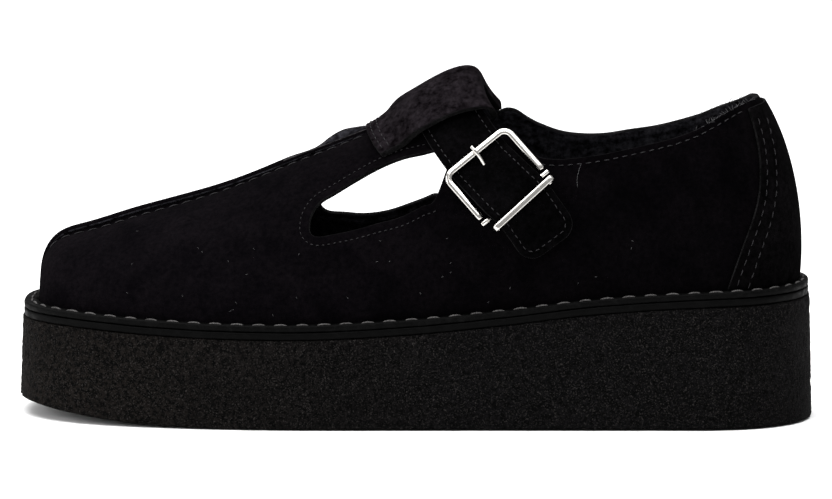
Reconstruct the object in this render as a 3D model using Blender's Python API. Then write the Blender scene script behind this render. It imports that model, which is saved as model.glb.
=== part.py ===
"""T-bar shoe for the left foot, on a thick crepe wedge sole.

Metres, +Z up. The toe points along -X and the outer side, with the buckle, along -Y.
The origin is on the floor under the middle of the sole.
"""
import math
from collections import namedtuple

import bmesh
import bpy
import numpy as np
from mathutils import Matrix, Vector

# Driving dimensions
SOLE_LENGTH = 0.300
BALL_WIDTH = 0.104
HEEL_HEIGHT = 0.0525
TOE_SPRING = 0.0065
INSTEP_HEIGHT = 0.084
QUARTER_HEIGHT = 0.0694
UPPER_WALL = 0.0020
WELT_THICKNESS = 0.0024
MIDSOLE_THICKNESS = 0.0026
INSOLE_THICKNESS = 0.0030
TOE_MARGIN = 0.0070
SIDE_MARGIN = 0.0055
HEEL_MARGIN = 0.0058
SOLE_DRAFT = 0.0010
SOLE_ROUND = 0.0007
BAND_INSET = 0.0013
SEAM_WIDTH = 0.0026
SEAM_HEIGHT = 0.0026
COUNTER_THICKNESS = 0.0010
STRAP_WIDTH = 0.0235
STRAP_THICKNESS = 0.0022
STRAP_CORNER = 0.0065
STRAP_FALL = 0.0240
LOOP_HEIGHT = 0.0068
CHAPE_WIDTH = 0.0170
CHAPE_THICKNESS = 0.0011
CHAPE_TAIL = 0.0090
BUCKLE_WIDTH = 0.0320
BUCKLE_LENGTH = 0.0226
BUCKLE_WIRE = 0.0023
BUCKLE_CORNER = 0.0035
PIN_DIAMETER = 0.0018
PRONG_DIAMETER = 0.0015
PRONG_HOLE_LENGTH = 0.0105
KEEPER_WIDTH = 0.0300
KEEPER_FACE = 0.0023
KEEPER_THICKNESS = 0.0012
KEEPER_OFFSET = 0.0042
KEEPER_HOOK = 0.0028
GAP = 0.0003

# Fineness of the meshes
SOLE_STEPS = 38
TOE_COLUMNS = 16
FRONT_COLUMNS = 4
FAN_COLUMNS = 9
LOWER_ROWS = 8
UPPER_ROWS = 5
COUNTER_COLUMNS = 7
COUNTER_ROWS = 9
LOOP_ROWS = 8
STRAP_ROWS = 4
STRAP_SPACING = 0.0042
CORNER_STEPS = 4
BEND_STEPS = 5
EYE_SIDES = 14
WIDEST_STEP = 0.030
WELD_DISTANCE = 0.00001
SMOOTH_ANGLE = math.radians(40)

# Edge of the sole in plan, from toe to heel. The middle line and the half breadths are shares of BALL_WIDTH.
Outline = namedtuple("Outline", "share middle outer inner")
OUTLINE = (
    Outline(0.00, 0.048, 0.490, 0.481),
    Outline(0.20, 0.035, 0.490, 0.500),
    Outline(0.35, 0.019, 0.490, 0.505),
    Outline(0.50, 0.010, 0.461, 0.447),
    Outline(0.62, 0.006, 0.437, 0.395),
    Outline(0.73, 0.003, 0.420, 0.375),
    Outline(0.86, 0.000, 0.398, 0.383),
    Outline(1.00, 0.000, 0.385, 0.385),
)
TOE_ROUND = 0.33
TOE_SQUARENESS = 2.7
HEEL_ROUND = 0.14
HEEL_SQUARENESS = 2.2

# Side of the sole: top as shares of HEEL_HEIGHT, and underside as shares of TOE_SPRING.
Level = namedtuple("Level", "share top spring")
LEVELS = (
    Level(0.00, 0.810, 1.00),
    Level(0.06, 0.803, 0.62),
    Level(0.12, 0.785, 0.31),
    Level(0.18, 0.768, 0.13),
    Level(0.25, 0.755, 0.00),
    Level(0.35, 0.750, 0.00),
    Level(0.50, 0.792, 0.00),
    Level(0.61, 0.853, 0.00),
    Level(0.73, 0.936, 0.00),
    Level(0.86, 0.985, 0.00),
    Level(1.00, 1.000, 0.00),
)

# Cross sections of the last, from toe tip to heel centre and on round the back. The crown and the
# roof are shares of INSTEP_HEIGHT, the bulge of BALL_WIDTH, the rise of the section's own height,
# and the shoulder of its own half breadth.
Section = namedtuple("Section", "share crown bulge rise shoulder roof")
SECTIONS = (
    Section(0.000, 0.267, 0.012, 0.56, 0.62, 0.000),
    Section(0.054, 0.306, 0.012, 0.55, 0.62, 0.003),
    Section(0.133, 0.402, 0.014, 0.53, 0.62, 0.016),
    Section(0.238, 0.525, 0.018, 0.51, 0.62, 0.040),
    Section(0.343, 0.673, 0.024, 0.50, 0.62, 0.080),
    Section(0.437, 0.796, 0.045, 0.46, 0.62, 0.145),
    Section(0.500, 0.896, 0.072, 0.43, 0.61, 0.200),
    Section(0.560, 0.982, 0.100, 0.41, 0.61, 0.250),
    Section(0.590, 0.997, 0.105, 0.41, 0.61, 0.255),
    Section(0.690, 1.006, 0.065, 0.42, 0.63, 0.250),
    Section(0.870, 1.027, 0.029, 0.32, 0.88, 0.150),
    Section(1.000, 1.019, 0.031, 0.32, 0.88, 0.150),
)
HEEL_CENTRE = 0.870
CROWN_ROUND = 0.013
TOE_DOME = 0.060
TOE_DOME_SQUARENESS = 3.2

# Angles from the crown are taken about a line at this share of each section's height.
AXIS_RISE = 0.30

# Free edge of the lower wall behind the cut-outs' front end, as shares of QUARTER_HEIGHT above the
# welt: the cut-outs' lower edge, the wings under the strap, the collar and the top of the back.
Rim = namedtuple("Rim", "share outer inner")
RIM = (
    Rim(0.364, 0.452, 0.452),
    Rim(0.392, 0.471, 0.447),
    Rim(0.421, 0.491, 0.434),
    Rim(0.454, 0.522, 0.446),
    Rim(0.485, 0.550, 0.483),
    Rim(0.513, 0.598, 0.524),
    Rim(0.530, 0.632, 0.560),
    Rim(0.537, 0.696, 0.653),
    Rim(0.544, 0.775, 0.760),
    Rim(0.558, 0.830, 0.838),
    Rim(0.586, 0.868, 0.885),
    Rim(0.607, 0.903, 0.955),
    Rim(0.627, 0.920, 0.970),
    Rim(0.640, 0.890, 0.940),
    Rim(0.650, 0.838, 0.908),
    Rim(0.662, 0.798, 0.877),
    Rim(0.683, 0.772, 0.832),
    Rim(0.711, 0.764, 0.799),
    Rim(0.742, 0.767, 0.786),
    Rim(0.776, 0.784, 0.796),
    Rim(0.815, 0.810, 0.810),
    Rim(0.846, 0.837, 0.836),
    Rim(0.870, 0.869, 0.862),
    Rim(0.903, 0.916, 0.902),
    Rim(0.948, 0.970, 0.950),
    Rim(0.986, 0.996, 0.994),
    Rim(1.000, 1.000, 1.000),
)

# Lower edge of the T-bar above the cut-outs, as shares of QUARTER_HEIGHT above the welt.
BarEdge = namedtuple("BarEdge", "share height")
T_BAR = (
    BarEdge(0.364, 0.621),
    BarEdge(0.392, 0.677),
    BarEdge(0.421, 0.743),
    BarEdge(0.454, 0.810),
    BarEdge(0.485, 0.853),
    BarEdge(0.513, 0.872),
    BarEdge(0.558, 0.915),
    BarEdge(0.596, 0.970),
)
CUT_FRONT = 0.3640
CUT_MIDDLE = 0.520
CUT_ROUND = 0.022
CUT_SQUARENESS = 2.4
T_BAR_END = 0.5765
SEAM_END = 0.4330
SEAM_BREAK = 0.0006
SEAM_LOW = 0.4

# Front edge of the heel counter: heights as shares of QUARTER_HEIGHT, reach as a share of the last.
CounterEdge = namedtuple("CounterEdge", "height reach")
COUNTER = (
    CounterEdge(0.00, 0.088),
    CounterEdge(0.13, 0.079),
    CounterEdge(0.27, 0.068),
    CounterEdge(0.41, 0.055),
    CounterEdge(0.54, 0.045),
    CounterEdge(0.69, 0.038),
    CounterEdge(1.00, 0.031),
)
COUNTER_TOP = 0.965

# Middle line of the strap, from its sewn end on the inner side over the instep to its tip. Reach is
# a share of the last, and lean the angle in degrees from the crown (outer side negative).
Fold = namedtuple("Fold", "step reach lean")
STRAP = (
    Fold(0.00, 0.6050, 64.0),
    Fold(0.12, 0.5880, 48.0),
    Fold(0.24, 0.5670, 30.0),
    Fold(0.36, 0.5430, 14.0),
    Fold(0.44, 0.5345, 0.0),
    Fold(0.52, 0.5450, -17.0),
    Fold(0.62, 0.5830, -42.0),
    Fold(0.71, 0.6060, -54.0),
    Fold(0.79, 0.6270, -64.0),
    Fold(0.84, 0.6430, -70.5),
    Fold(0.92, 0.6650, -82.5),
    Fold(1.00, 0.6850, -95.0),
)
TOP_BAR_STEP = 0.620

# Profile of the strap loop along the shoe: reach as shares of the last, and lift above the T-bar as
# shares of the loop's height. The last rows are the fold that closes its back.
LoopRow = namedtuple("LoopRow", "outer_reach outer_lift inner_reach inner_lift")
LOOP = (
    LoopRow(0.4370, 0.42, 0.4370, 0.05),
    LoopRow(0.4560, 0.46, 0.4560, 0.05),
    LoopRow(0.4660, 0.55, 0.4680, 0.12),
    LoopRow(0.4770, 0.80, 0.4800, 0.42),
    LoopRow(0.4890, 0.94, 0.4920, 0.62),
    LoopRow(0.5240, 1.00, 0.5240, 0.69),
    LoopRow(0.5520, 1.00, 0.5520, 0.69),
    LoopRow(0.5690, 0.94, 0.5690, 0.66),
    LoopRow(0.5800, 0.75, 0.5755, 0.56),
    LoopRow(0.5858, 0.34, 0.5782, 0.21),
    LoopRow(0.5864, -0.08, 0.5788, -0.08),
    LoopRow(0.5864, -0.28, 0.5788, -0.28),
)
LOOP_SLANT = 0.022
LoopEdge = namedtuple("LoopEdge", "share lean")
LOOP_EDGE = (
    LoopEdge(0.437, 28.5),
    LoopEdge(0.500, 24.5),
    LoopEdge(0.545, 22.0),
    LoopEdge(0.610, 21.5),
)

# Middle line of the prong from its eye under the strap: distance behind the top bar as a share of the
# buckle's length, and clearance above the last in gaps.
ProngUnder = namedtuple("ProngUnder", "share gaps")
PRONG_UNDER = (
    ProngUnder(0.45, 1.0),
    ProngUnder(0.30, 2.0),
)

# Its end over the top bar: distance behind the bar in wire diameters, and height as a share of the
# height at which it rests on the bar.
ProngOver = namedtuple("ProngOver", "wires height")
PRONG_OVER = (
    ProngOver(1.0, 0.72),
    ProngOver(0.0, 1.00),
    ProngOver(-0.9, 0.95),
)

OUTER = -1
INNER = 1
PARTS = "t_bar_shoe"
CUTTERS = "t_bar_shoe_cutters"


def follow(rows, column, at):
    """Value of a table's column at a place between its rows, on a smooth curve through them."""
    places = np.array([row[0] for row in rows])
    values = np.array([getattr(row, column) for row in rows])
    slopes = np.gradient(values, places)
    k = int(np.clip(np.searchsorted(places, at) - 1, 0, len(rows) - 2))
    span = places[k + 1] - places[k]
    f = min(max((at - places[k]) / span, 0.0), 1.0)
    ease = f * f * (3 - 2 * f)
    start = span * slopes[k] * f * (1 - f) ** 2
    finish = span * slopes[k + 1] * f * f * (1 - f)
    return float(values[k] * (1 - ease) + values[k + 1] * ease + start - finish)


def rounding(share, length, squareness):
    """Breadth of a rounded end as a share of the full breadth."""
    left = max(0.0, 1.0 - share / length)
    return max(0.0, 1.0 - left**squareness) ** (1.0 / squareness)


# Plan of the sole

Margin = namedtuple("Margin", "toe side heel")
LAST_MARGIN = Margin(TOE_MARGIN, SIDE_MARGIN, HEEL_MARGIN)


def even_margin(size):
    return Margin(size, size, size)


def wider(margin, size):
    """The margin of an outline that lies this much further in."""
    return Margin(margin.toe + size, margin.side + size, margin.heel + size)


def sole_share(x):
    return x / SOLE_LENGTH + 0.5


def outline_x(share, margin):
    return margin.toe + share * (SOLE_LENGTH - margin.toe - margin.heel) - SOLE_LENGTH / 2


def half_breadth(share, side, margin):
    """Distance from the middle line to an outline that lies inside the sole's edge by the margin."""
    column = "outer" if side == OUTER else "inner"
    full = BALL_WIDTH * follow(OUTLINE, column, sole_share(outline_x(share, margin))) - margin.side
    toe = rounding(share, TOE_ROUND, TOE_SQUARENESS)
    heel = rounding(1 - share, HEEL_ROUND, HEEL_SQUARENESS)
    return full * toe * heel


def swing(share):
    """How far the sole's middle line lies to the inner side of the heel's."""
    return BALL_WIDTH * follow(OUTLINE, "middle", share)


def sole_reach(side):
    """Furthest that the sole reaches to one side of the heel's middle line."""
    return max(side * swing(share) + half_breadth(share, side, SOLE_EDGE) for share in np.linspace(0, 1, 201))


SOLE_EDGE = even_margin(0.0)
HEEL_LINE = (sole_reach(OUTER) - sole_reach(INNER)) / 2


def middle(x):
    return swing(sole_share(x)) + HEEL_LINE


def edge(share, side, margin):
    """Point of an outline that lies inside the sole's edge by the margin."""
    x = outline_x(share, margin)
    return x, middle(x) + side * half_breadth(share, side, margin)


def even_shares(count):
    """Places along the outline that are evenly spaced round its edge."""
    shares = 0.5 - 0.5 * np.cos(np.linspace(0, math.pi, 601))
    points = np.array([edge(share, OUTER, SOLE_EDGE) for share in shares])
    run = np.concatenate(([0.0], np.cumsum(np.linalg.norm(np.diff(points, axis=0), axis=1))))
    return np.interp(np.linspace(0, run[-1], count + 1), run, shares)


RING_SHARES = even_shares(SOLE_STEPS)


def top_height(x):
    """Height of the welt's top face."""
    return HEEL_HEIGHT * follow(LEVELS, "top", sole_share(x))


def underside(x):
    """Height of the sole's underside, flat on the floor behind the toe spring."""
    return max(0.0, TOE_SPRING * follow(LEVELS, "spring", sole_share(x)))


# The last

LAST_LENGTH = SOLE_LENGTH - TOE_MARGIN - HEEL_MARGIN
LAST_FRONT = TOE_MARGIN - SOLE_LENGTH / 2


def last_x(share):
    return LAST_FRONT + share * LAST_LENGTH


def rib(share, side, steps):
    """Points of one half section of the last, from the welt's top to the crown.

    Up to the heel centre a section stands across the shoe. Behind it the sections fan round the back.
    """
    foot_x, foot_y = edge(share, side, LAST_MARGIN)
    crown_x = min(foot_x, last_x(HEEL_CENTRE))
    centre = np.array([crown_x, middle(crown_x)])
    out = np.array([foot_x, foot_y]) - centre
    half = float(np.linalg.norm(out))
    out = out / half if half > 1e-7 else np.array([0.0, float(side)])
    foot = top_height(foot_x)
    rise = INSTEP_HEIGHT * follow(SECTIONS, "crown", share) * rounding(share, TOE_DOME, TOE_DOME_SQUARENESS)
    bulge = BALL_WIDTH * follow(SECTIONS, "bulge", share) * min(1.0, half / SIDE_MARGIN)
    roof = INSTEP_HEIGHT * follow(SECTIONS, "roof", share)
    shoulder = half * follow(SECTIONS, "shoulder", share)
    slope = roof / max(shoulder, CROWN_ROUND)
    blunt = min(CROWN_ROUND, half / 4)
    peak = foot + rise + slope * blunt
    reach = (half, half + bulge, shoulder, 0.0)
    height = (foot, foot + rise * follow(SECTIONS, "rise", share), peak - roof, peak)
    t = np.asarray(steps, dtype=float)
    blend = np.array([(1 - t) ** 3, 3 * t * (1 - t) ** 2, 3 * t * t * (1 - t), t**3])
    across = np.dot(reach, blend)
    level = np.dot(height, blend) - slope * (np.sqrt(across**2 + blunt**2) - across)
    level += (1 - t) ** 3 * slope * (math.sqrt(half**2 + blunt**2) - half)
    return np.column_stack((centre[0] + out[0] * across, centre[1] + out[1] * across, level))


FINE = np.linspace(0, 1, 81)


def step_at_height(share, side, height):
    """Place on a rib, from 0 at the welt to 1 at the crown, at a height above the welt."""
    points = rib(share, side, FINE)
    return float(np.interp(height, points[:, 2] - points[0, 2], FINE))


def step_at_reach(share, side, reach):
    """Place on a rib at a distance from the crown line, measured across the shoe."""
    points = rib(share, side, FINE)
    across = np.linalg.norm(points[:, :2] - points[-1, :2], axis=1)
    return float(np.interp(-reach, -across, FINE))


def last_point(share, angle):
    """Point of the last at a share of its length and an angle in degrees from the crown."""
    outer = rib(share, OUTER, FINE)
    inner = rib(share, INNER, FINE)[::-1]
    section = np.vstack((outer, inner[1:]))
    axis = outer[0, 2] + AXIS_RISE * (outer[-1, 2] - outer[0, 2])
    angles = np.degrees(np.arctan2(section[:, 1] - outer[-1, 1], section[:, 2] - axis))
    across = np.interp(angle, angles, section[:, 1])
    return Vector((section[0, 0], across, np.interp(angle, angles, section[:, 2])))


def around(reach, lean, near_reach=0.004, near_lean=1.5):
    """Point of the last at a reach and lean, and its outward normal from points near it."""
    along = last_point(reach + near_reach, lean) - last_point(reach - near_reach, lean)
    over = last_point(reach, lean + near_lean) - last_point(reach, lean - near_lean)
    return last_point(reach, lean), along.cross(over).normalized()


def lean_of(place):
    """The share of the last's length and the angle from the crown of a point near its surface."""
    share = (place.x - LAST_FRONT) / LAST_LENGTH
    section = rib(share, OUTER, (0.0, 1.0))
    axis = section[0, 2] + AXIS_RISE * (section[1, 2] - section[0, 2])
    return share, math.degrees(math.atan2(place.y - section[1, 1], place.z - axis))


# Meshes

def colour(name, rgb, roughness, metallic=0.0):
    material = bpy.data.materials.new(name)
    material.use_nodes = True
    shader = material.node_tree.nodes["Principled BSDF"]
    shader.inputs["Base Color"].default_value = (*rgb, 1.0)
    shader.inputs["Roughness"].default_value = roughness
    shader.inputs["Metallic"].default_value = metallic
    material.diffuse_color = (*rgb, 1.0)
    return material


def collection(name):
    found = bpy.data.collections.get(name)
    if found is None:
        found = bpy.data.collections.new(name)
        bpy.context.scene.collection.children.link(found)
    return found


def add_object(name, data, material=None, group=PARTS):
    thing = bpy.data.objects.new(name, data)
    collection(group).objects.link(thing)
    if material is not None:
        data.materials.append(material)
    return thing


def mesh_object(name, points, faces, material=None, group=PARTS):
    """A closed mesh from points and faces, with its faces turned outward."""
    mesh = bpy.data.meshes.new(name)
    mesh.from_pydata([tuple(point) for point in points], [], faces)
    shape = bmesh.new()
    shape.from_mesh(mesh)
    bmesh.ops.recalc_face_normals(shape, faces=shape.faces)
    shape.to_mesh(mesh)
    shape.free()
    mesh.shade_smooth()
    mesh.set_sharp_from_angle(angle=SMOOTH_ANGLE)
    return add_object(name, mesh, material, group)


def without_repeats(corners):
    kept = [corner for k, corner in enumerate(corners) if corner != corners[k - 1]]
    return kept if len(set(kept)) == len(kept) and len(kept) > 2 else None


def weld(points):
    """Distinct points, and for each given point the index of its distinct one."""
    found = {}
    index = []
    for point in points:
        key = tuple(round(float(value), 6) for value in point)
        index.append(found.setdefault(key, len(found)))
    return list(found), index


def wall(name, outer, inner, faces, material):
    """A closed wall between an outer and an inner surface that share their faces' pattern."""
    outer_points, outer_index = weld(outer)
    inner_points, inner_index = weld(inner)
    shift = len(outer_points)
    sides = {}
    made = []
    for face in faces:
        made.append(without_repeats([outer_index[corner] for corner in face]))
        made.append(without_repeats([shift + inner_index[corner] for corner in reversed(face)]))
        for start, finish in zip(face, face[1:] + face[:1]):
            sides[(start, finish)] = True
    for start, finish in sides:
        if (finish, start) not in sides:
            made.append(without_repeats([
                outer_index[finish], outer_index[start],
                shift + inner_index[start], shift + inner_index[finish],
            ]))
    return mesh_object(name, outer_points + inner_points, [face for face in made if face], material)


class Sheet:
    """Corners and faces of an open surface. Corners at one place with one lift are one corner."""

    def __init__(self):
        self.found = {}
        self.points = []
        self.lifts = []
        self.faces = []

    def corner(self, point, lift=0.0):
        key = (*(round(float(value), 6) for value in point), round(lift, 6))
        if key not in self.found:
            self.found[key] = len(self.points)
            self.points.append(np.array(point, dtype=float))
            self.lifts.append(lift)
        return self.found[key]

    def face(self, *corners):
        kept = without_repeats(list(corners))
        if kept:
            self.faces.append(kept)

    def strip(self, column, following):
        for k in range(len(column) - 1):
            self.face(column[k], following[k], following[k + 1], column[k + 1])

    def normals(self):
        """Outward normal at each corner, shared by corners at one place."""
        places, index = weld(self.points)
        total = np.zeros((len(places), 3))
        for face in self.faces:
            ring = [self.points[corner] for corner in face]
            middle_point = sum(ring) / len(ring)
            turn = sum(np.cross(ring[k - 1] - middle_point, ring[k] - middle_point) for k in range(len(ring)))
            for corner in face:
                total[index[corner]] += turn
        total /= np.linalg.norm(total, axis=1)[:, None]
        return total[index]


# Sole

def ring(margin, height):
    """Points round an outline, outer side toe to heel and inner side back, at a height for each place."""
    outer = [edge(share, OUTER, margin) for share in RING_SHARES]
    inner = [edge(share, INNER, margin) for share in RING_SHARES[1:-1][::-1]]
    return [(x, y, height(x)) for x, y in outer + inner]


def loft(rings, closed):
    """Points and side faces between rings, and the caps of an open stack."""
    count = len(rings[0])
    points = [point for one in rings for point in one]
    levels = len(rings)
    faces = []
    for level in range(levels if closed else levels - 1):
        low = level * count
        high = (level + 1) % levels * count
        for k in range(count):
            following = (k + 1) % count
            faces.append([low + k, low + following, high + following, high + k])
    if not closed:
        for base in (0, (levels - 1) * count):
            for k in range(count // 2):
                face = [base + k, base + k + 1, base + (count - k - 1) % count, base + (count - k) % count]
                kept = without_repeats(face)
                if kept:
                    faces.append(kept)
    return points, faces


def stack(name, layers, material, closed=False):
    points, faces = loft([ring(margin, height) for margin, height in layers], closed)
    return mesh_object(name, points, faces, material)


def crepe_top(x):
    return top_height(x) - WELT_THICKNESS - MIDSOLE_THICKNESS - 2 * GAP


def midsole_top(x):
    return top_height(x) - WELT_THICKNESS - GAP


def make_outsole(material):
    layers = (
        (even_margin(SOLE_ROUND), underside),
        (SOLE_EDGE, lambda x: underside(x) + SOLE_ROUND),
        (even_margin(SOLE_DRAFT), lambda x: crepe_top(x) - SOLE_ROUND),
        (even_margin(SOLE_DRAFT + SOLE_ROUND), crepe_top),
    )
    stack("outsole", layers, material)


def make_midsole(material):
    layers = (
        (even_margin(BAND_INSET), lambda x: crepe_top(x) + GAP),
        (even_margin(BAND_INSET), midsole_top),
    )
    stack("midsole", layers, material)


def make_welt(material):
    inside = wider(LAST_MARGIN, -GAP)
    edge_round = WELT_THICKNESS / 4
    layers = (
        (inside, lambda x: midsole_top(x) + GAP),
        (even_margin(BAND_INSET), lambda x: midsole_top(x) + GAP),
        (even_margin(BAND_INSET), lambda x: top_height(x) - edge_round),
        (even_margin(BAND_INSET + edge_round), top_height),
        (inside, top_height),
    )
    stack("welt", layers, material, closed=True)


def make_insole(material):
    inside = wider(LAST_MARGIN, UPPER_WALL + GAP)
    layers = (
        (inside, lambda x: midsole_top(x) + GAP),
        (inside, lambda x: midsole_top(x) + GAP + INSOLE_THICKNESS),
    )
    stack("insole", layers, material)


# Upper

def upper_stations():
    """Places of the upper's sections, close where its edges turn."""
    toe = [CUT_FRONT * (k / TOE_COLUMNS) ** 2 for k in range(TOE_COLUMNS + 1)]
    quarter_turn = [math.pi / 2 * k / FRONT_COLUMNS for k in range(1, FRONT_COLUMNS + 1)]
    front = [CUT_FRONT + CUT_ROUND * (1 - math.cos(angle)) for angle in quarter_turn]
    rows = [row.share for row in RIM if front[-1] < row.share < HEEL_CENTRE]
    behind = front[-1:] + rows + [HEEL_CENTRE]
    halves = [(a + b) / 2 for a, b in zip(behind, behind[1:]) if b - a > WIDEST_STEP]
    fan = [1 - (1 - HEEL_CENTRE) * (1 - k / FAN_COLUMNS) ** 2 for k in range(FAN_COLUMNS + 1)]
    marks = [SEAM_END, SEAM_END + SEAM_BREAK, T_BAR_END]
    return sorted(set(round(share, 6) for share in toe + front + rows + halves + fan + marks))


def cut_turn(share):
    """How far the cut-out has opened from its rounded front end, from 0 to 1."""
    return rounding(share - CUT_FRONT, CUT_ROUND, CUT_SQUARENESS)


def rim_height(share, side):
    column = "outer" if side == OUTER else "inner"
    full = follow(RIM, column, share)
    return QUARTER_HEIGHT * (CUT_MIDDLE + (full - CUT_MIDDLE) * cut_turn(share))


def bar_height(share):
    full = follow(T_BAR, "height", share)
    return QUARTER_HEIGHT * (CUT_MIDDLE + (full - CUT_MIDDLE) * cut_turn(share))


def seam_lift(share):
    """Height of the raised centre seam, which is lower round the toe and ends at the strap loop."""
    if share > SEAM_END:
        return 0.0
    return SEAM_HEIGHT * (SEAM_LOW + (1 - SEAM_LOW) * min(1.0, 2 * share / CUT_FRONT))


def split_step(share, side):
    """Place on a rib where the wall below the cut-out ends and where the wall above it starts."""
    if share <= CUT_FRONT:
        step = step_at_height(CUT_FRONT, side, QUARTER_HEIGHT * CUT_MIDDLE)
        return step, step
    heights = rim_height(share, side), bar_height(share)
    return tuple(step_at_height(share, side, height) for height in heights)


def make_upper(material):
    sheet = Sheet()
    stations = upper_stations()
    around_heel = [(share, OUTER) for share in stations] + [(share, INNER) for share in stations[-2::-1]]
    lower = []
    for share, side in around_heel:
        ends = rib(share, side, np.linspace(0, split_step(share, side)[0], LOWER_ROWS + 1))
        foot = ends[0] - np.array([0.0, 0.0, WELT_THICKNESS])
        lower.append([sheet.corner(point) for point in [foot, *ends]])
    for column, following in zip(lower, lower[1:]):
        sheet.strip(column, following)
    for side in (OUTER, INNER):
        upper = []
        for share in (share for share in stations if share <= T_BAR_END):
            seam = step_at_reach(share, side, SEAM_WIDTH / 2)
            start = min(split_step(share, side)[1], seam)
            points = rib(share, side, np.linspace(start, seam, UPPER_ROWS + 1))
            crown = rib(share, side, (1.0,))[0]
            lift = seam_lift(share)
            column = [sheet.corner(point) for point in points]
            upper.append(column + [sheet.corner(points[-1], lift), sheet.corner(crown, lift)])
        for column, following in zip(upper, upper[1:]):
            pair = (column, following) if side == OUTER else (following, column)
            sheet.strip(*pair)
    normals = sheet.normals()
    points = np.array(sheet.points)
    outer = points + normals * np.array(sheet.lifts)[:, None]
    inner = points - normals * UPPER_WALL
    return wall("upper", outer, inner, sheet.faces, material)


def make_counter(material):
    """Overlay round the back, from the welt to just under the collar."""
    sheet = Sheet()
    columns = []
    for turn in np.linspace(-1, 1, 2 * COUNTER_COLUMNS + 1):
        side = OUTER if turn < 0 else INNER
        column = []
        for height in np.linspace(2 * GAP / QUARTER_HEIGHT, 1, COUNTER_ROWS + 1):
            share = 1 - follow(COUNTER, "reach", height) * turn * turn
            step = step_at_height(share, side, rim_height(share, side) * COUNTER_TOP * height)
            column.append(sheet.corner(rib(share, side, (step,))[0]))
        columns.append(column)
    for column, following in zip(columns, columns[1:]):
        sheet.strip(column, following)
    normals = sheet.normals()
    inner = np.array(sheet.points) + normals * GAP
    outer = inner + normals * COUNTER_THICKNESS
    return wall("heel_counter", outer, inner, sheet.faces, material)


# Strap, loop and chape

WRAP_RADIUS = PIN_DIAMETER / 2 + GAP + CHAPE_THICKNESS
PIN_LIFT = WRAP_RADIUS + GAP
HINGE_CLEARANCE = PIN_LIFT + WRAP_RADIUS + 3 * GAP


def strap_line():
    """Middle line of the strap as steps and distances along it."""
    steps = np.linspace(0, 1, 61)
    places = [around(follow(STRAP, "reach", s), follow(STRAP, "lean", s))[0] for s in steps]
    run = np.concatenate(([0.0], np.cumsum([(b - a).length for a, b in zip(places, places[1:])])))
    return steps, run


STRAP_STEPS, STRAP_RUN = strap_line()
STRAP_LENGTH = float(STRAP_RUN[-1])
TOP_BAR_PLACE = float(np.interp(TOP_BAR_STEP, STRAP_STEPS, STRAP_RUN))


def strap_frame(distance):
    """On the last under the strap's middle line: place, direction along, direction across and normal."""
    def place(at):
        step = float(np.interp(at, STRAP_RUN, STRAP_STEPS))
        return around(follow(STRAP, "reach", step), follow(STRAP, "lean", step))

    here, normal = place(distance)
    along = place(min(distance + 0.001, STRAP_LENGTH))[0] - place(max(distance - 0.001, 0.0))[0]
    along = (along - normal * along.dot(normal)).normalized()
    return here, along, normal.cross(along), normal


def strap_clearance(distance):
    """Space under the strap, which rises over the hinge pin and its leather."""
    past = distance - TOP_BAR_PLACE - BUCKLE_LENGTH
    width = BUCKLE_LENGTH if past < 0 else STRAP_FALL
    turn = min(1.0, abs(past) / width)
    return GAP + (HINGE_CLEARANCE - GAP) * (0.5 + 0.5 * math.cos(math.pi * turn))


def strap_half_width(distance):
    """Half breadth of the strap, whose tip has rounded corners."""
    left = STRAP_LENGTH - distance
    if left >= STRAP_CORNER:
        return STRAP_WIDTH / 2
    return STRAP_WIDTH / 2 - STRAP_CORNER + math.sqrt(max(0.0, STRAP_CORNER**2 - (STRAP_CORNER - left) ** 2))


def strap_point(distance, across, lift):
    """A point over the last at a distance along the strap, across from its middle line and above it."""
    here, _, sideways, _ = strap_frame(distance)
    place, normal = around(*lean_of(here + sideways * across))
    return place + normal * lift


def make_strap(material):
    turns = np.linspace(0, math.pi / 2, CORNER_STEPS + 1)
    tip = [STRAP_LENGTH - STRAP_CORNER * (1 - math.sin(turn)) for turn in turns]
    count = round(tip[0] / STRAP_SPACING)
    distances = [tip[0] * k / count for k in range(count)] + tip
    outer, inner, faces = [], [], []
    for distance in distances:
        half = strap_half_width(distance)
        clearance = strap_clearance(distance)
        for k in range(STRAP_ROWS + 1):
            across = half * (2 * k / STRAP_ROWS - 1)
            inner.append(strap_point(distance, across, clearance))
            outer.append(strap_point(distance, across, clearance + STRAP_THICKNESS))
    width = STRAP_ROWS + 1
    for row in range(len(distances) - 1):
        for k in range(STRAP_ROWS):
            start = row * width + k
            faces.append([start, start + width, start + width + 1, start + 1])
    strap = wall("strap", outer, inner, faces, material)
    here, along, sideways, normal = strap_frame(TOP_BAR_PLACE + PRONG_HOLE_LENGTH / 2 + BUCKLE_WIRE / 3)
    slot = cutter_box("prong_hole", (PRONG_HOLE_LENGTH, PRONG_DIAMETER + 4 * GAP, 4 * STRAP_THICKNESS))
    slot.matrix_world = axes_matrix(here + normal * STRAP_THICKNESS, along, sideways, normal)
    cut(strap, slot)
    return strap


def make_loop(material):
    """Broad loop that is sewn to the T-bar in front and folds down behind the strap."""
    outer, inner, faces = [], [], []
    for row in LOOP:
        for k in range(LOOP_ROWS + 1):
            turn = 2 * k / LOOP_ROWS - 1
            lean = turn * follow(LOOP_EDGE, "lean", row.outer_reach)
            slant = LOOP_SLANT * turn * turn
            place, normal = around(row.outer_reach + slant, lean)
            outer.append(place + normal * (LOOP_HEIGHT * row.outer_lift))
            place, normal = around(row.inner_reach + slant, lean)
            inner.append(place + normal * (LOOP_HEIGHT * row.inner_lift))
    width = LOOP_ROWS + 1
    for row in range(len(LOOP) - 1):
        for k in range(LOOP_ROWS):
            start = row * width + k
            faces.append([start, start + 1, start + width + 1, start + width])
    return wall("strap_loop", outer, inner, faces, material)


# Buckle

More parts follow.
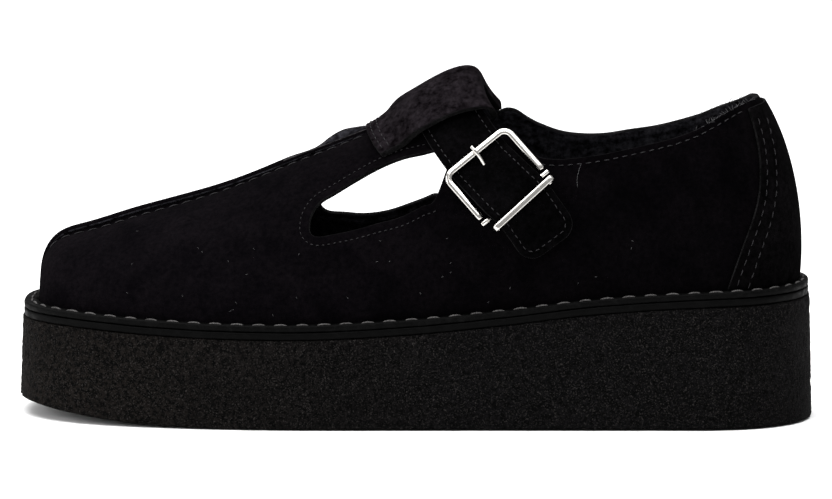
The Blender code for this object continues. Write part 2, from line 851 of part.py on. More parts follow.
def axes_matrix(origin, along, sideways, normal):
    matrix = Matrix((along, sideways, normal)).transposed().to_4x4()
    matrix.translation = origin
    return matrix


def as_cutter(thing):
    thing.hide_render = True
    thing.display_type = "WIRE"
    return thing


def cutter_box(name, size):
    mesh = bpy.data.meshes.new(name)
    shape = bmesh.new()
    bmesh.ops.create_cube(shape, size=1.0)
    bmesh.ops.scale(shape, vec=size, verts=shape.verts)
    shape.to_mesh(mesh)
    shape.free()
    return as_cutter(add_object(name, mesh, group=CUTTERS))


def cut(thing, cutter, operation="DIFFERENCE"):
    modifier = thing.modifiers.new(cutter.name, "BOOLEAN")
    modifier.operation = operation
    modifier.object = cutter


def buckle_matrix():
    """Frame of the buckle: X from its top bar to its hinge pin, Y across it and Z away from the shoe."""
    top_lift = strap_clearance(TOP_BAR_PLACE) + STRAP_THICKNESS + GAP + BUCKLE_WIRE / 2
    here, _, sideways, normal = strap_frame(TOP_BAR_PLACE)
    top = here + normal * top_lift
    there, _, low_sideways, low_normal = strap_frame(TOP_BAR_PLACE + BUCKLE_LENGTH)
    pin = there + low_normal * PIN_LIFT
    along = (pin - top).normalized()
    sideways = sideways + low_sideways
    sideways = (sideways - along * sideways.dot(along)).normalized()
    return axes_matrix(top, along, sideways, along.cross(sideways)), (pin - top).length


def welded_curve(name, curve, matrix, material, group=PARTS):
    """A curve as a closed mesh object with its matrix."""
    guide = add_object(name + "_guide", curve)
    bpy.context.view_layer.update()
    mesh = bpy.data.meshes.new_from_object(guide.evaluated_get(bpy.context.evaluated_depsgraph_get()))
    bpy.data.objects.remove(guide)
    mesh.name = name
    shape = bmesh.new()
    shape.from_mesh(mesh)
    bmesh.ops.remove_doubles(shape, verts=shape.verts, dist=WELD_DISTANCE)
    shape.to_mesh(mesh)
    shape.free()
    mesh.shade_smooth()
    mesh.set_sharp_from_angle(angle=SMOOTH_ANGLE)
    solid = add_object(name, mesh, material, group)
    solid.matrix_world = matrix
    return solid


def wire(name, points, diameter, matrix, material, fineness=2):
    """A round bar along points in the buckle's frame."""
    curve = bpy.data.curves.new(name, "CURVE")
    curve.dimensions = "3D"
    spline = curve.splines.new("POLY")
    spline.points.add(len(points) - 1)
    for k, point in enumerate(points):
        spline.points[k].co = (*point, 1.0)
    curve.bevel_depth = diameter / 2
    curve.bevel_resolution = fineness
    curve.use_fill_caps = True
    return welded_curve(name, curve, matrix, material)


def arc(centre, radius, start, finish, count):
    """Points of an arc in the buckle's XY plane, angles in degrees."""
    angles = [math.radians(start + (finish - start) * k / count) for k in range(count + 1)]
    return [(centre[0] + radius * math.cos(a), centre[1] + radius * math.sin(a), 0.0) for a in angles]


def make_frame(matrix, length, material):
    """Three sides of the buckle. Its ends stop just short of the pin's ends."""
    half = (BUCKLE_WIDTH - BUCKLE_WIRE) / 2
    bend = BUCKLE_CORNER
    end = length - BUCKLE_WIRE / 2 - GAP - PIN_DIAMETER / 2
    points = [(end, -half, 0.0)]
    points += arc((bend, bend - half), bend, 270, 180, BEND_STEPS)
    points += arc((bend, half - bend), bend, 180, 90, BEND_STEPS)
    points += [(end, half, 0.0)]
    return wire("buckle_frame", points, BUCKLE_WIRE, matrix, material, fineness=3)


def make_pin(matrix, length, material):
    half = BUCKLE_WIDTH / 2
    ends = [(length, -half, 0.0), (length, half, 0.0)]
    return wire("buckle_bar", ends, PIN_DIAMETER, matrix, material)


def make_prong(matrix, length, material):
    """Tongue of the buckle, from an eye round the pin, under the strap and up through it to the top bar."""
    inverse = matrix.inverted()
    radius = PRONG_DIAMETER / 2
    points = [(length - PIN_DIAMETER / 2 - radius - GAP, 0.0, 0.0)]
    for row in PRONG_UNDER:
        place, _, _, normal = strap_frame(TOP_BAR_PLACE + BUCKLE_LENGTH * row.share)
        points.append(tuple(inverse @ (place + normal * (radius + GAP * row.gaps))))
    rest = BUCKLE_WIRE / 2 + radius + GAP
    points += [(BUCKLE_WIRE * row.wires, 0.0, rest * row.height) for row in PRONG_OVER]
    return wire("buckle_prong", points, PRONG_DIAMETER, matrix, material)


def flat_shape(name, outline, thickness, matrix, material, group=PARTS):
    """A flat outline in its own XY plane with a thickness along its Z."""
    curve = bpy.data.curves.new(name, "CURVE")
    curve.dimensions = "2D"
    curve.fill_mode = "BOTH"
    curve.extrude = thickness / 2
    spline = curve.splines.new("POLY")
    spline.use_cyclic_u = True
    spline.points.add(len(outline) - 1)
    for k, (x, y) in enumerate(outline):
        spline.points[k].co = (x, y, 0.0, 1.0)
    return welded_curve(name, curve, matrix, material, group)


def make_keeper(material):
    """Flat metal keeper over the strap, with legs that turn in under the strap's edges."""
    distance = TOP_BAR_PLACE + BUCKLE_LENGTH + KEEPER_OFFSET
    here, along, sideways, normal = strap_frame(distance)
    top = strap_clearance(distance) + STRAP_THICKNESS + 2 * GAP + KEEPER_THICKNESS
    low = strap_clearance(distance) - 2 * GAP - KEEPER_THICKNESS
    half = KEEPER_WIDTH / 2
    inside = half - KEEPER_THICKNESS
    bend = KEEPER_THICKNESS
    inside_top = top - KEEPER_THICKNESS
    inside_low = low + KEEPER_THICKNESS
    right = [
        (half - KEEPER_HOOK, low),
        (half - bend, low),
        (half, low + bend),
        (half, top - bend),
        (half - bend, top),
    ]
    right_inner = [
        (inside - bend / 2, inside_top),
        (inside, inside_top - bend / 2),
        (inside, inside_low + bend / 2),
        (inside - bend / 2, inside_low),
        (half - KEEPER_HOOK, inside_low),
    ]
    left = [(-x, y) for x, y in reversed(right)]
    left_inner = [(-x, y) for x, y in reversed(right_inner)]
    matrix = axes_matrix(here, sideways, normal, sideways.cross(normal))
    outline = right + left + left_inner + right_inner
    return flat_shape("buckle_keeper", outline, KEEPER_FACE, matrix, material)


def eye_outline(centre_x, radius):
    turns = [2 * math.pi * k / EYE_SIDES for k in range(EYE_SIDES)]
    return [(centre_x + radius * math.cos(turn), radius * math.sin(turn)) for turn in turns]


def make_chape(matrix, length, material):
    """Leather loop that wraps the pin and runs down under the strap."""
    upright = matrix @ Matrix.Rotation(math.pi / 2, 4, "X")
    chape = flat_shape("buckle_chape", eye_outline(length, WRAP_RADIUS), CHAPE_WIDTH, upright, material)
    here, along, sideways, normal = strap_frame(TOP_BAR_PLACE + BUCKLE_LENGTH + CHAPE_TAIL / 2)
    tail = cutter_box("chape_tail", (CHAPE_TAIL, CHAPE_WIDTH, CHAPE_THICKNESS))
    tail.matrix_world = axes_matrix(here + normal * (GAP + CHAPE_THICKNESS / 2), along, sideways, normal)
    cut(chape, tail, "UNION")
    bore_outline = eye_outline(length, PIN_DIAMETER / 2 + GAP)
    bore = flat_shape("pin_hole", bore_outline, 2 * CHAPE_WIDTH, upright, None, CUTTERS)
    cut(chape, as_cutter(bore))
    slot = cutter_box("prong_slot", (2 * WRAP_RADIUS, PRONG_DIAMETER + 4 * GAP, 4 * WRAP_RADIUS))
    slot.matrix_world = matrix @ Matrix.Translation((length - WRAP_RADIUS, 0.0, 0.0))
    cut(chape, slot)
    return chape


def main():
    for thing in list(bpy.data.objects):
        bpy.data.objects.remove(thing)
    suede = colour("black_suede", (0.012, 0.010, 0.012), 0.92)
    loop_suede = colour("loop_suede", (0.018, 0.016, 0.020), 0.90)
    strap_suede = colour("strap_suede", (0.012, 0.011, 0.013), 0.90)
    counter_suede = colour("counter_suede", (0.010, 0.009, 0.010), 0.92)
    crepe = colour("black_crepe", (0.014, 0.013, 0.013), 0.85)
    band = colour("midsole_rubber", (0.010, 0.010, 0.010), 0.55)
    welt = colour("welt_leather", (0.010, 0.010, 0.011), 0.60)
    lining = colour("insole_leather", (0.015, 0.014, 0.014), 0.80)
    chape = colour("chape_leather", (0.020, 0.016, 0.014), 0.75)
    nickel = colour("polished_nickel", (0.82, 0.81, 0.79), 0.12, 1.0)
    make_outsole(crepe)
    make_midsole(band)
    make_welt(welt)
    make_insole(lining)
    make_upper(suede)
    make_counter(counter_suede)
    make_loop(loop_suede)
    make_strap(strap_suede)
    matrix, length = buckle_matrix()
    make_frame(matrix, length, nickel)
    make_pin(matrix, length, nickel)
    make_prong(matrix, length, nickel)
    make_keeper(nickel)
    make_chape(matrix, length, chape)


main()
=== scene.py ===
"""Looks of a left t-bar shoe: black suede on a crepe wedge sole, with a polished buckle.

Metres, +Z up. The toe points along -X and the outer side, with the buckle, along -Y.
"""

import math
import random
from bisect import bisect_left
from collections import namedtuple
from functools import lru_cache

import bmesh
import bpy
import numpy as np
from mathutils import Matrix, Vector, noise
from mathutils.kdtree import KDTree


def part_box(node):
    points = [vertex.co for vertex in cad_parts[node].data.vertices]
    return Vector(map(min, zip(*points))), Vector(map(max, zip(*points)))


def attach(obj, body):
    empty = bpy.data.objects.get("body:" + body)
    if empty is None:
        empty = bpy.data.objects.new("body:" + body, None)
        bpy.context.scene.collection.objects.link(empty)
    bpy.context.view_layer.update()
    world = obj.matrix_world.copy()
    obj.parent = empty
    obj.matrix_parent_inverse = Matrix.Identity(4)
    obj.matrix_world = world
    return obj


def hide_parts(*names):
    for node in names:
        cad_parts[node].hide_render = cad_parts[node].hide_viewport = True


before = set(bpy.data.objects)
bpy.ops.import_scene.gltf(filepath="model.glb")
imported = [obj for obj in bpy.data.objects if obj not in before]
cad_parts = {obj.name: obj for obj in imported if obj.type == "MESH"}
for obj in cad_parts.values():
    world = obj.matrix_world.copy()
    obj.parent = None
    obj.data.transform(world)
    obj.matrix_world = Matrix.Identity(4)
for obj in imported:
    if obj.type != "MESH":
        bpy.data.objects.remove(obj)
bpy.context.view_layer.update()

# Sizes of the solids that the dressed pieces stand for
SOLE_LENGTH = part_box("outsole")[1].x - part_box("outsole")[0].x
BALL_WIDTH = 0.104
HEEL_HEIGHT = 0.0525
TOE_SPRING = 0.0065
INSTEP_HEIGHT = 0.084
QUARTER_HEIGHT = 0.0694
UPPER_WALL = 0.0020
WELT_THICKNESS = 0.0024
MIDSOLE_THICKNESS = 0.0026
INSOLE_THICKNESS = 0.0030
TOE_MARGIN = 0.0070
SIDE_MARGIN = 0.0055
HEEL_MARGIN = 0.0058
SOLE_DRAFT = 0.0010
BAND_INSET = 0.0013
SEAM_WIDTH = 0.0026
SEAM_HEIGHT = 0.0026
COUNTER_THICKNESS = 0.0010
STRAP_WIDTH = 0.0235
STRAP_THICKNESS = 0.0022
STRAP_CORNER = 0.0065
STRAP_FALL = 0.0240
LOOP_HEIGHT = 0.0068
CHAPE_WIDTH = 0.0170
CHAPE_THICKNESS = 0.0011
CHAPE_TAIL = 0.0090
BUCKLE_WIDTH = 0.0320
BUCKLE_LENGTH = 0.0226
BUCKLE_WIRE = 0.0023
BUCKLE_CORNER = 0.0035
PIN_DIAMETER = 0.0018
PRONG_DIAMETER = 0.0015
KEEPER_WIDTH = 0.0300
KEEPER_FACE = 0.0023
KEEPER_THICKNESS = 0.0012
KEEPER_OFFSET = 0.0042
KEEPER_HOOK = 0.0028
GAP = 0.0003

# Edge of the sole in plan, from toe to heel. The middle line and the half breadths are shares of BALL_WIDTH.
Outline = namedtuple("Outline", "share middle outer inner")
OUTLINE = (
    Outline(0.00, 0.048, 0.490, 0.481),
    Outline(0.20, 0.035, 0.490, 0.500),
    Outline(0.35, 0.019, 0.490, 0.505),
    Outline(0.50, 0.010, 0.461, 0.447),
    Outline(0.62, 0.006, 0.437, 0.395),
    Outline(0.73, 0.003, 0.420, 0.375),
    Outline(0.86, 0.000, 0.398, 0.383),
    Outline(1.00, 0.000, 0.385, 0.385),
)
TOE_ROUND = 0.33
TOE_SQUARENESS = 2.7
HEEL_ROUND = 0.14
HEEL_SQUARENESS = 2.2

# Side of the sole: top as shares of HEEL_HEIGHT, and underside as shares of TOE_SPRING.
Level = namedtuple("Level", "share top spring")
LEVELS = (
    Level(0.00, 0.810, 1.00),
    Level(0.06, 0.803, 0.62),
    Level(0.12, 0.785, 0.31),
    Level(0.18, 0.768, 0.13),
    Level(0.25, 0.755, 0.00),
    Level(0.35, 0.750, 0.00),
    Level(0.50, 0.792, 0.00),
    Level(0.61, 0.853, 0.00),
    Level(0.73, 0.936, 0.00),
    Level(0.86, 0.985, 0.00),
    Level(1.00, 1.000, 0.00),
)

# Cross sections of the last, from toe tip to heel centre and on round the back. The crown and the
# roof are shares of INSTEP_HEIGHT, the bulge of BALL_WIDTH, the rise of the section's own height,
# and the shoulder of its own half breadth.
Section = namedtuple("Section", "share crown bulge rise shoulder roof")
SECTIONS = (
    Section(0.000, 0.267, 0.012, 0.56, 0.62, 0.000),
    Section(0.054, 0.306, 0.012, 0.55, 0.62, 0.003),
    Section(0.133, 0.402, 0.014, 0.53, 0.62, 0.016),
    Section(0.238, 0.525, 0.018, 0.51, 0.62, 0.040),
    Section(0.343, 0.673, 0.024, 0.50, 0.62, 0.080),
    Section(0.437, 0.796, 0.045, 0.46, 0.62, 0.145),
    Section(0.500, 0.896, 0.072, 0.43, 0.61, 0.200),
    Section(0.560, 0.982, 0.100, 0.41, 0.61, 0.250),
    Section(0.590, 0.997, 0.105, 0.41, 0.61, 0.255),
    Section(0.690, 1.006, 0.065, 0.42, 0.63, 0.250),
    Section(0.870, 1.027, 0.029, 0.32, 0.88, 0.150),
    Section(1.000, 1.019, 0.031, 0.32, 0.88, 0.150),
)
HEEL_CENTRE = 0.870
CROWN_ROUND = 0.013
TOE_DOME = 0.060
TOE_DOME_SQUARENESS = 3.2
AXIS_RISE = 0.30

# Free edge of the lower wall, as shares of QUARTER_HEIGHT above the welt: the cut-outs' lower edge,
# the wings under the strap, the collar and the top of the back.
Rim = namedtuple("Rim", "share outer inner")
RIM = (
    Rim(0.364, 0.452, 0.452),
    Rim(0.392, 0.471, 0.447),
    Rim(0.421, 0.491, 0.434),
    Rim(0.454, 0.522, 0.446),
    Rim(0.485, 0.550, 0.483),
    Rim(0.513, 0.598, 0.524),
    Rim(0.530, 0.632, 0.560),
    Rim(0.537, 0.696, 0.653),
    Rim(0.544, 0.775, 0.760),
    Rim(0.558, 0.830, 0.838),
    Rim(0.586, 0.868, 0.885),
    Rim(0.607, 0.903, 0.990),
    Rim(0.627, 0.920, 0.985),
    Rim(0.640, 0.890, 0.940),
    Rim(0.650, 0.838, 0.908),
    Rim(0.662, 0.798, 0.877),
    Rim(0.683, 0.772, 0.832),
    Rim(0.711, 0.764, 0.799),
    Rim(0.742, 0.767, 0.786),
    Rim(0.776, 0.784, 0.796),
    Rim(0.815, 0.810, 0.810),
    Rim(0.846, 0.837, 0.836),
    Rim(0.870, 0.869, 0.862),
    Rim(0.903, 0.916, 0.902),
    Rim(0.948, 0.970, 0.950),
    Rim(0.986, 0.996, 0.994),
    Rim(1.000, 1.000, 1.000),
)

# Lower edge of the T-bar above the cut-outs, as shares of QUARTER_HEIGHT above the welt.
BarEdge = namedtuple("BarEdge", "share height")
T_BAR = (
    BarEdge(0.364, 0.621),
    BarEdge(0.392, 0.677),
    BarEdge(0.421, 0.743),
    BarEdge(0.454, 0.810),
    BarEdge(0.485, 0.853),
    BarEdge(0.513, 0.872),
    BarEdge(0.558, 0.915),
    BarEdge(0.596, 0.970),
)
CUT_FRONT = 0.3640
CUT_MIDDLE = 0.520
CUT_ROUND = 0.022
CUT_SQUARENESS = 2.4
T_BAR_END = 0.5765
SEAM_END = 0.4330
SEAM_LOW = 0.4
SEAM_WORN = 0.318

# Front edge of the heel counter: heights as shares of QUARTER_HEIGHT, reach as a share of the last.
CounterEdge = namedtuple("CounterEdge", "height reach")
COUNTER = (
    CounterEdge(0.00, 0.088),
    CounterEdge(0.13, 0.079),
    CounterEdge(0.27, 0.068),
    CounterEdge(0.41, 0.055),
    CounterEdge(0.54, 0.045),
    CounterEdge(0.69, 0.038),
    CounterEdge(1.00, 0.031),
)
COUNTER_TOP = 0.965

# Middle line of the strap, from its sewn end on the inner side over the instep to its tip. Reach is
# a share of the last, and lean the angle in degrees from the crown (outer side negative).
Fold = namedtuple("Fold", "step reach lean")
STRAP = (
    Fold(0.00, 0.6050, 64.0),
    Fold(0.12, 0.5880, 48.0),
    Fold(0.24, 0.5670, 30.0),
    Fold(0.36, 0.5430, 14.0),
    Fold(0.44, 0.5345, 0.0),
    Fold(0.52, 0.5450, -17.0),
    Fold(0.62, 0.5830, -42.0),
    Fold(0.71, 0.6060, -54.0),
    Fold(0.79, 0.6270, -64.0),
    Fold(0.84, 0.6430, -70.5),
    Fold(0.92, 0.6650, -82.5),
    Fold(1.00, 0.6850, -95.0),
)
TOP_BAR_STEP = 0.620

# Profile of the strap loop along the shoe: reach as shares of the last, and lift above the T-bar as
# shares of the loop's height. The last rows are the fold that closes its back.
LoopRow = namedtuple("LoopRow", "outer_reach outer_lift inner_reach inner_lift")
LOOP = (
    LoopRow(0.4370, 0.42, 0.4370, 0.05),
    LoopRow(0.4560, 0.46, 0.4560, 0.05),
    LoopRow(0.4660, 0.55, 0.4680, 0.12),
    LoopRow(0.4770, 0.80, 0.4800, 0.42),
    LoopRow(0.4890, 0.94, 0.4920, 0.62),
    LoopRow(0.5240, 1.00, 0.5240, 0.69),
    LoopRow(0.5520, 1.00, 0.5520, 0.69),
    LoopRow(0.5690, 0.94, 0.5690, 0.66),
    LoopRow(0.5800, 0.75, 0.5755, 0.56),
    LoopRow(0.5858, 0.34, 0.5782, 0.21),
    LoopRow(0.5864, -0.08, 0.5788, -0.08),
    LoopRow(0.5864, -0.28, 0.5788, -0.28),
)
LOOP_SLANT = 0.022
LOOP_SEAMS = (0.4425, 0.4510)
LoopEdge = namedtuple("LoopEdge", "share lean")
LOOP_EDGE = (
    LoopEdge(0.437, 28.5),
    LoopEdge(0.500, 24.5),
    LoopEdge(0.545, 22.0),
    LoopEdge(0.610, 21.5),
)

ProngUnder = namedtuple("ProngUnder", "share gaps")
PRONG_UNDER = (
    ProngUnder(0.45, 1.0),
    ProngUnder(0.30, 2.0),
)
ProngOver = namedtuple("ProngOver", "wires height")
PRONG_OVER = (
    ProngOver(1.0, 0.72),
    ProngOver(0.0, 1.00),
    ProngOver(-0.9, 0.95),
)

# Stitching: distance from the edge, pitch and length of a stitch, and the thread's radius
Row = namedtuple("Row", "inset pitch length radius")
WELT_ROW = Row(0.0026, 0.0082, 0.0056, 0.00041)
SEAM_ROW = Row(0.0020, 0.0053, 0.0037, 0.00024)
CUT_ROW = Row(0.0034, 0.0022, 0.0011, 0.00017)
COLLAR_ROW = Row(0.0024, 0.0034, 0.0021, 0.00018)
STRAP_ROW = Row(0.0024, 0.0028, 0.0016, 0.00018)
COUNTER_ROW = Row(0.0028, 0.0040, 0.0024, 0.00019)
LOOP_ROW = Row(0.0030, 0.0030, 0.0018, 0.00019)
ROW_SPACING = 0.0045

# Camera
AZIMUTH = math.radians(3.0)
ELEVATION = math.radians(8.0)
DISTANCE = 5.0
LENS = 571.0
AIM = Vector((0.0, 0.0, 0.0617))

OUTER = -1
INNER = 1
random.seed(7)


# Plan and last, as in the solids

@lru_cache(maxsize=None)
def curve(rows, column):
    """Places, values and slopes of a table's column."""
    places = np.array([row[0] for row in rows])
    values = np.array([getattr(row, column) for row in rows])
    return places.tolist(), values.tolist(), np.gradient(values, places).tolist()


def follow(rows, column, at):
    """Value of a table's column at a place between its rows, on a smooth curve through them."""
    places, values, slopes = curve(rows, column)
    k = min(max(bisect_left(places, at) - 1, 0), len(rows) - 2)
    span = places[k + 1] - places[k]
    f = min(max((at - places[k]) / span, 0.0), 1.0)
    ease = f * f * (3 - 2 * f)
    start = span * slopes[k] * f * (1 - f) ** 2
    finish = span * slopes[k + 1] * f * f * (1 - f)
    return float(values[k] * (1 - ease) + values[k + 1] * ease + start - finish)


def rounding(share, length, squareness):
    """Breadth of a rounded end as a share of the full breadth."""
    left = max(0.0, 1.0 - share / length)
    return max(0.0, 1.0 - left**squareness) ** (1.0 / squareness)


Margin = namedtuple("Margin", "toe side heel")
LAST_MARGIN = Margin(TOE_MARGIN, SIDE_MARGIN, HEEL_MARGIN)


def even_margin(size):
    return Margin(size, size, size)


def wider(margin, size):
    """The margin of an outline that lies this much further in."""
    return Margin(margin.toe + size, margin.side + size, margin.heel + size)


def sole_share(x):
    return x / SOLE_LENGTH + 0.5


def outline_x(share, margin):
    return margin.toe + share * (SOLE_LENGTH - margin.toe - margin.heel) - SOLE_LENGTH / 2


def half_breadth(share, side, margin):
    """Distance from the middle line to an outline that lies inside the sole's edge by the margin."""
    column = "outer" if side == OUTER else "inner"
    full = BALL_WIDTH * follow(OUTLINE, column, sole_share(outline_x(share, margin))) - margin.side
    toe = rounding(share, TOE_ROUND, TOE_SQUARENESS)
    heel = rounding(1 - share, HEEL_ROUND, HEEL_SQUARENESS)
    return full * toe * heel


def swing(share):
    """How far the sole's middle line lies to the inner side of the heel's."""
    return BALL_WIDTH * follow(OUTLINE, "middle", share)


def sole_reach(side):
    """Furthest that the sole reaches to one side of the heel's middle line."""
    return max(side * swing(share) + half_breadth(share, side, SOLE_EDGE) for share in np.linspace(0, 1, 201))


SOLE_EDGE = even_margin(0.0)
HEEL_LINE = (sole_reach(OUTER) - sole_reach(INNER)) / 2


def middle(x):
    return swing(sole_share(x)) + HEEL_LINE


def edge(share, side, margin):
    """Point of an outline that lies inside the sole's edge by the margin."""
    x = outline_x(share, margin)
    return x, middle(x) + side * half_breadth(share, side, margin)


def even_shares(count):
    """Places along the outline that are evenly spaced round its edge."""
    shares = 0.5 - 0.5 * np.cos(np.linspace(0, math.pi, 1201))
    points = np.array([edge(share, OUTER, SOLE_EDGE) for share in shares])
    run = np.concatenate(([0.0], np.cumsum(np.linalg.norm(np.diff(points, axis=0), axis=1))))
    return np.interp(np.linspace(0, run[-1], count + 1), run, shares)


def top_height(x):
    """Height of the welt's top face."""
    return HEEL_HEIGHT * follow(LEVELS, "top", sole_share(x))


def underside(x):
    """Height of the sole's underside, flat on the floor behind the toe spring."""
    return max(0.0, TOE_SPRING * follow(LEVELS, "spring", sole_share(x)))


LAST_LENGTH = SOLE_LENGTH - TOE_MARGIN - HEEL_MARGIN
LAST_FRONT = TOE_MARGIN - SOLE_LENGTH / 2


def last_x(share):
    return LAST_FRONT + share * LAST_LENGTH


def rib(share, side, steps):
    """Points of one half section of the last, from the welt's top to the crown.

    Up to the heel centre a section stands across the shoe. Behind it the sections fan round the back.
    """
    foot_x, foot_y = edge(share, side, LAST_MARGIN)
    crown_x = min(foot_x, last_x(HEEL_CENTRE))
    centre = np.array([crown_x, middle(crown_x)])
    out = np.array([foot_x, foot_y]) - centre
    half = float(np.linalg.norm(out))
    out = out / half if half > 1e-7 else np.array([0.0, float(side)])
    foot = top_height(foot_x)
    rise = INSTEP_HEIGHT * follow(SECTIONS, "crown", share) * rounding(share, TOE_DOME, TOE_DOME_SQUARENESS)
    bulge = BALL_WIDTH * follow(SECTIONS, "bulge", share) * min(1.0, half / SIDE_MARGIN)
    roof = INSTEP_HEIGHT * follow(SECTIONS, "roof", share)
    shoulder = half * follow(SECTIONS, "shoulder", share)
    slope = roof / max(shoulder, CROWN_ROUND)
    blunt = min(CROWN_ROUND, half / 4)
    peak = foot + rise + slope * blunt
    reach = (half, half + bulge, shoulder, 0.0)
    height = (foot, foot + rise * follow(SECTIONS, "rise", share), peak - roof, peak)
    t = np.asarray(steps, dtype=float)
    blend = np.array([(1 - t) ** 3, 3 * t * (1 - t) ** 2, 3 * t * t * (1 - t), t**3])
    across = np.dot(reach, blend)
    level = np.dot(height, blend) - slope * (np.sqrt(across**2 + blunt**2) - across)
    level += (1 - t) ** 3 * slope * (math.sqrt(half**2 + blunt**2) - half)
    return np.column_stack((centre[0] + out[0] * across, centre[1] + out[1] * across, level))


FINE = np.linspace(0, 1, 81)


@lru_cache(maxsize=4000)
def fine_rib(share, side):
    return rib(share, side, FINE)


@lru_cache(maxsize=4000)
def section_angles(share):
    """Points right across a section of the last, and their angles in degrees from the crown."""
    outer = fine_rib(share, OUTER)
    inner = fine_rib(share, INNER)[::-1]
    section = np.vstack((outer, inner[1:]))
    axis = outer[0, 2] + AXIS_RISE * (outer[-1, 2] - outer[0, 2])
    return section, np.degrees(np.arctan2(section[:, 1] - outer[-1, 1], section[:, 2] - axis))


def step_at_height(share, side, height):
    """Place on a rib, from 0 at the welt to 1 at the crown, at a height above the welt."""
    points = fine_rib(share, side)
    return float(np.interp(height, points[:, 2] - points[0, 2], FINE))


def step_at_reach(share, side, reach):
    """Place on a rib at a distance from the crown line, measured across the shoe."""
    points = fine_rib(share, side)
    across = np.linalg.norm(points[:, :2] - points[-1, :2], axis=1)
    return float(np.interp(-reach, -across, FINE))


def last_point(share, angle):
    """Point of the last at a share of its length and an angle in degrees from the crown."""
    section, angles = section_angles(round(share, 7))
    across = np.interp(angle, angles, section[:, 1])
    return Vector((section[0, 0], across, np.interp(angle, angles, section[:, 2])))


def around(reach, lean, near_reach=0.004, near_lean=1.5):
    """Point of the last at a reach and lean, and its outward normal from points near it."""
    along = last_point(reach + near_reach, lean) - last_point(reach - near_reach, lean)
    over = last_point(reach, lean + near_lean) - last_point(reach, lean - near_lean)
    return last_point(reach, lean), along.cross(over).normalized()


def lean_of(place):
    """The share of the last's length and the angle from the crown of a point near its surface."""
    share = (place.x - LAST_FRONT) / LAST_LENGTH
    section = rib(share, OUTER, (0.0, 1.0))
    axis = section[0, 2] + AXIS_RISE * (section[1, 2] - section[0, 2])
    return share, math.degrees(math.atan2(place.y - section[1, 1], place.z - axis))


def cut_turn(share):
    """How far the cut-out has opened from its rounded front end, from 0 to 1."""
    return rounding(share - CUT_FRONT, CUT_ROUND, CUT_SQUARENESS)


def rim_height(share, side):
    column = "outer" if side == OUTER else "inner"
    full = follow(RIM, column, share)
    return QUARTER_HEIGHT * (CUT_MIDDLE + (full - CUT_MIDDLE) * cut_turn(share))


def bar_height(share):
    full = follow(T_BAR, "height", share)
    return QUARTER_HEIGHT * (CUT_MIDDLE + (full - CUT_MIDDLE) * cut_turn(share))


def seam_lift(share):
    """Height of the raised centre seam, which is lower round the toe and ends at the strap loop."""
    if share > SEAM_END:
        return 0.0
    return SEAM_HEIGHT * (SEAM_LOW + (1 - SEAM_LOW) * min(1.0, 2 * share / CUT_FRONT))


def split_step(share, side):
    """Place on a rib where the wall below the cut-out ends and where the wall above it starts."""
    if share <= CUT_FRONT:
        step = step_at_height(CUT_FRONT, side, QUARTER_HEIGHT * CUT_MIDDLE)
        return step, step
    heights = rim_height(share, side), bar_height(share)
    return tuple(step_at_height(share, side, height) for height in heights)


# Strap and buckle lines, as in the solids

WRAP_RADIUS = PIN_DIAMETER / 2 + GAP + CHAPE_THICKNESS
PIN_LIFT = WRAP_RADIUS + GAP
HINGE_CLEARANCE = PIN_LIFT + WRAP_RADIUS + 3 * GAP


def strap_line():
    """Middle line of the strap as steps and distances along it."""
    steps = np.linspace(0, 1, 61)
    places = [around(follow(STRAP, "reach", s), follow(STRAP, "lean", s))[0] for s in steps]
    run = np.concatenate(([0.0], np.cumsum([(b - a).length for a, b in zip(places, places[1:])])))
    return steps, run


STRAP_STEPS, STRAP_RUN = strap_line()
STRAP_LENGTH = float(STRAP_RUN[-1])
TOP_BAR_PLACE = float(np.interp(TOP_BAR_STEP, STRAP_STEPS, STRAP_RUN))


@lru_cache(maxsize=None)
def strap_frame(distance):
    """On the last under the strap's middle line: place, direction along, direction across and normal."""
    def place(at):
        step = float(np.interp(at, STRAP_RUN, STRAP_STEPS))
        return around(follow(STRAP, "reach", step), follow(STRAP, "lean", step))

    here, normal = place(distance)
    along = place(min(distance + 0.001, STRAP_LENGTH))[0] - place(max(distance - 0.001, 0.0))[0]
    along = (along - normal * along.dot(normal)).normalized()
    return here, along, normal.cross(along), normal


def strap_clearance(distance):
    """Space under the strap, which rises over the hinge pin and its leather."""
    past = distance - TOP_BAR_PLACE - BUCKLE_LENGTH
    width = BUCKLE_LENGTH if past < 0 else STRAP_FALL
    turn = min(1.0, abs(past) / width)
    return GAP + (HINGE_CLEARANCE - GAP) * (0.5 + 0.5 * math.cos(math.pi * turn))


def strap_half_width(distance):
    """Half breadth of the strap, whose tip has rounded corners."""
    left = STRAP_LENGTH - distance
    if left >= STRAP_CORNER:
        return STRAP_WIDTH / 2
    return STRAP_WIDTH / 2 - STRAP_CORNER + math.sqrt(max(0.0, STRAP_CORNER**2 - (STRAP_CORNER - left) ** 2))


def strap_point(distance, across, lift):
    """A point over the last at a distance along the strap, across from its middle line and above it."""
    here, _, sideways, _ = strap_frame(distance)
    place, normal = around(*lean_of(here + sideways * across))
    return place + normal * lift, normal


def axes_matrix(origin, along, sideways, normal):
    matrix = Matrix((along, sideways, normal)).transposed().to_4x4()
    matrix.translation = origin
    return matrix


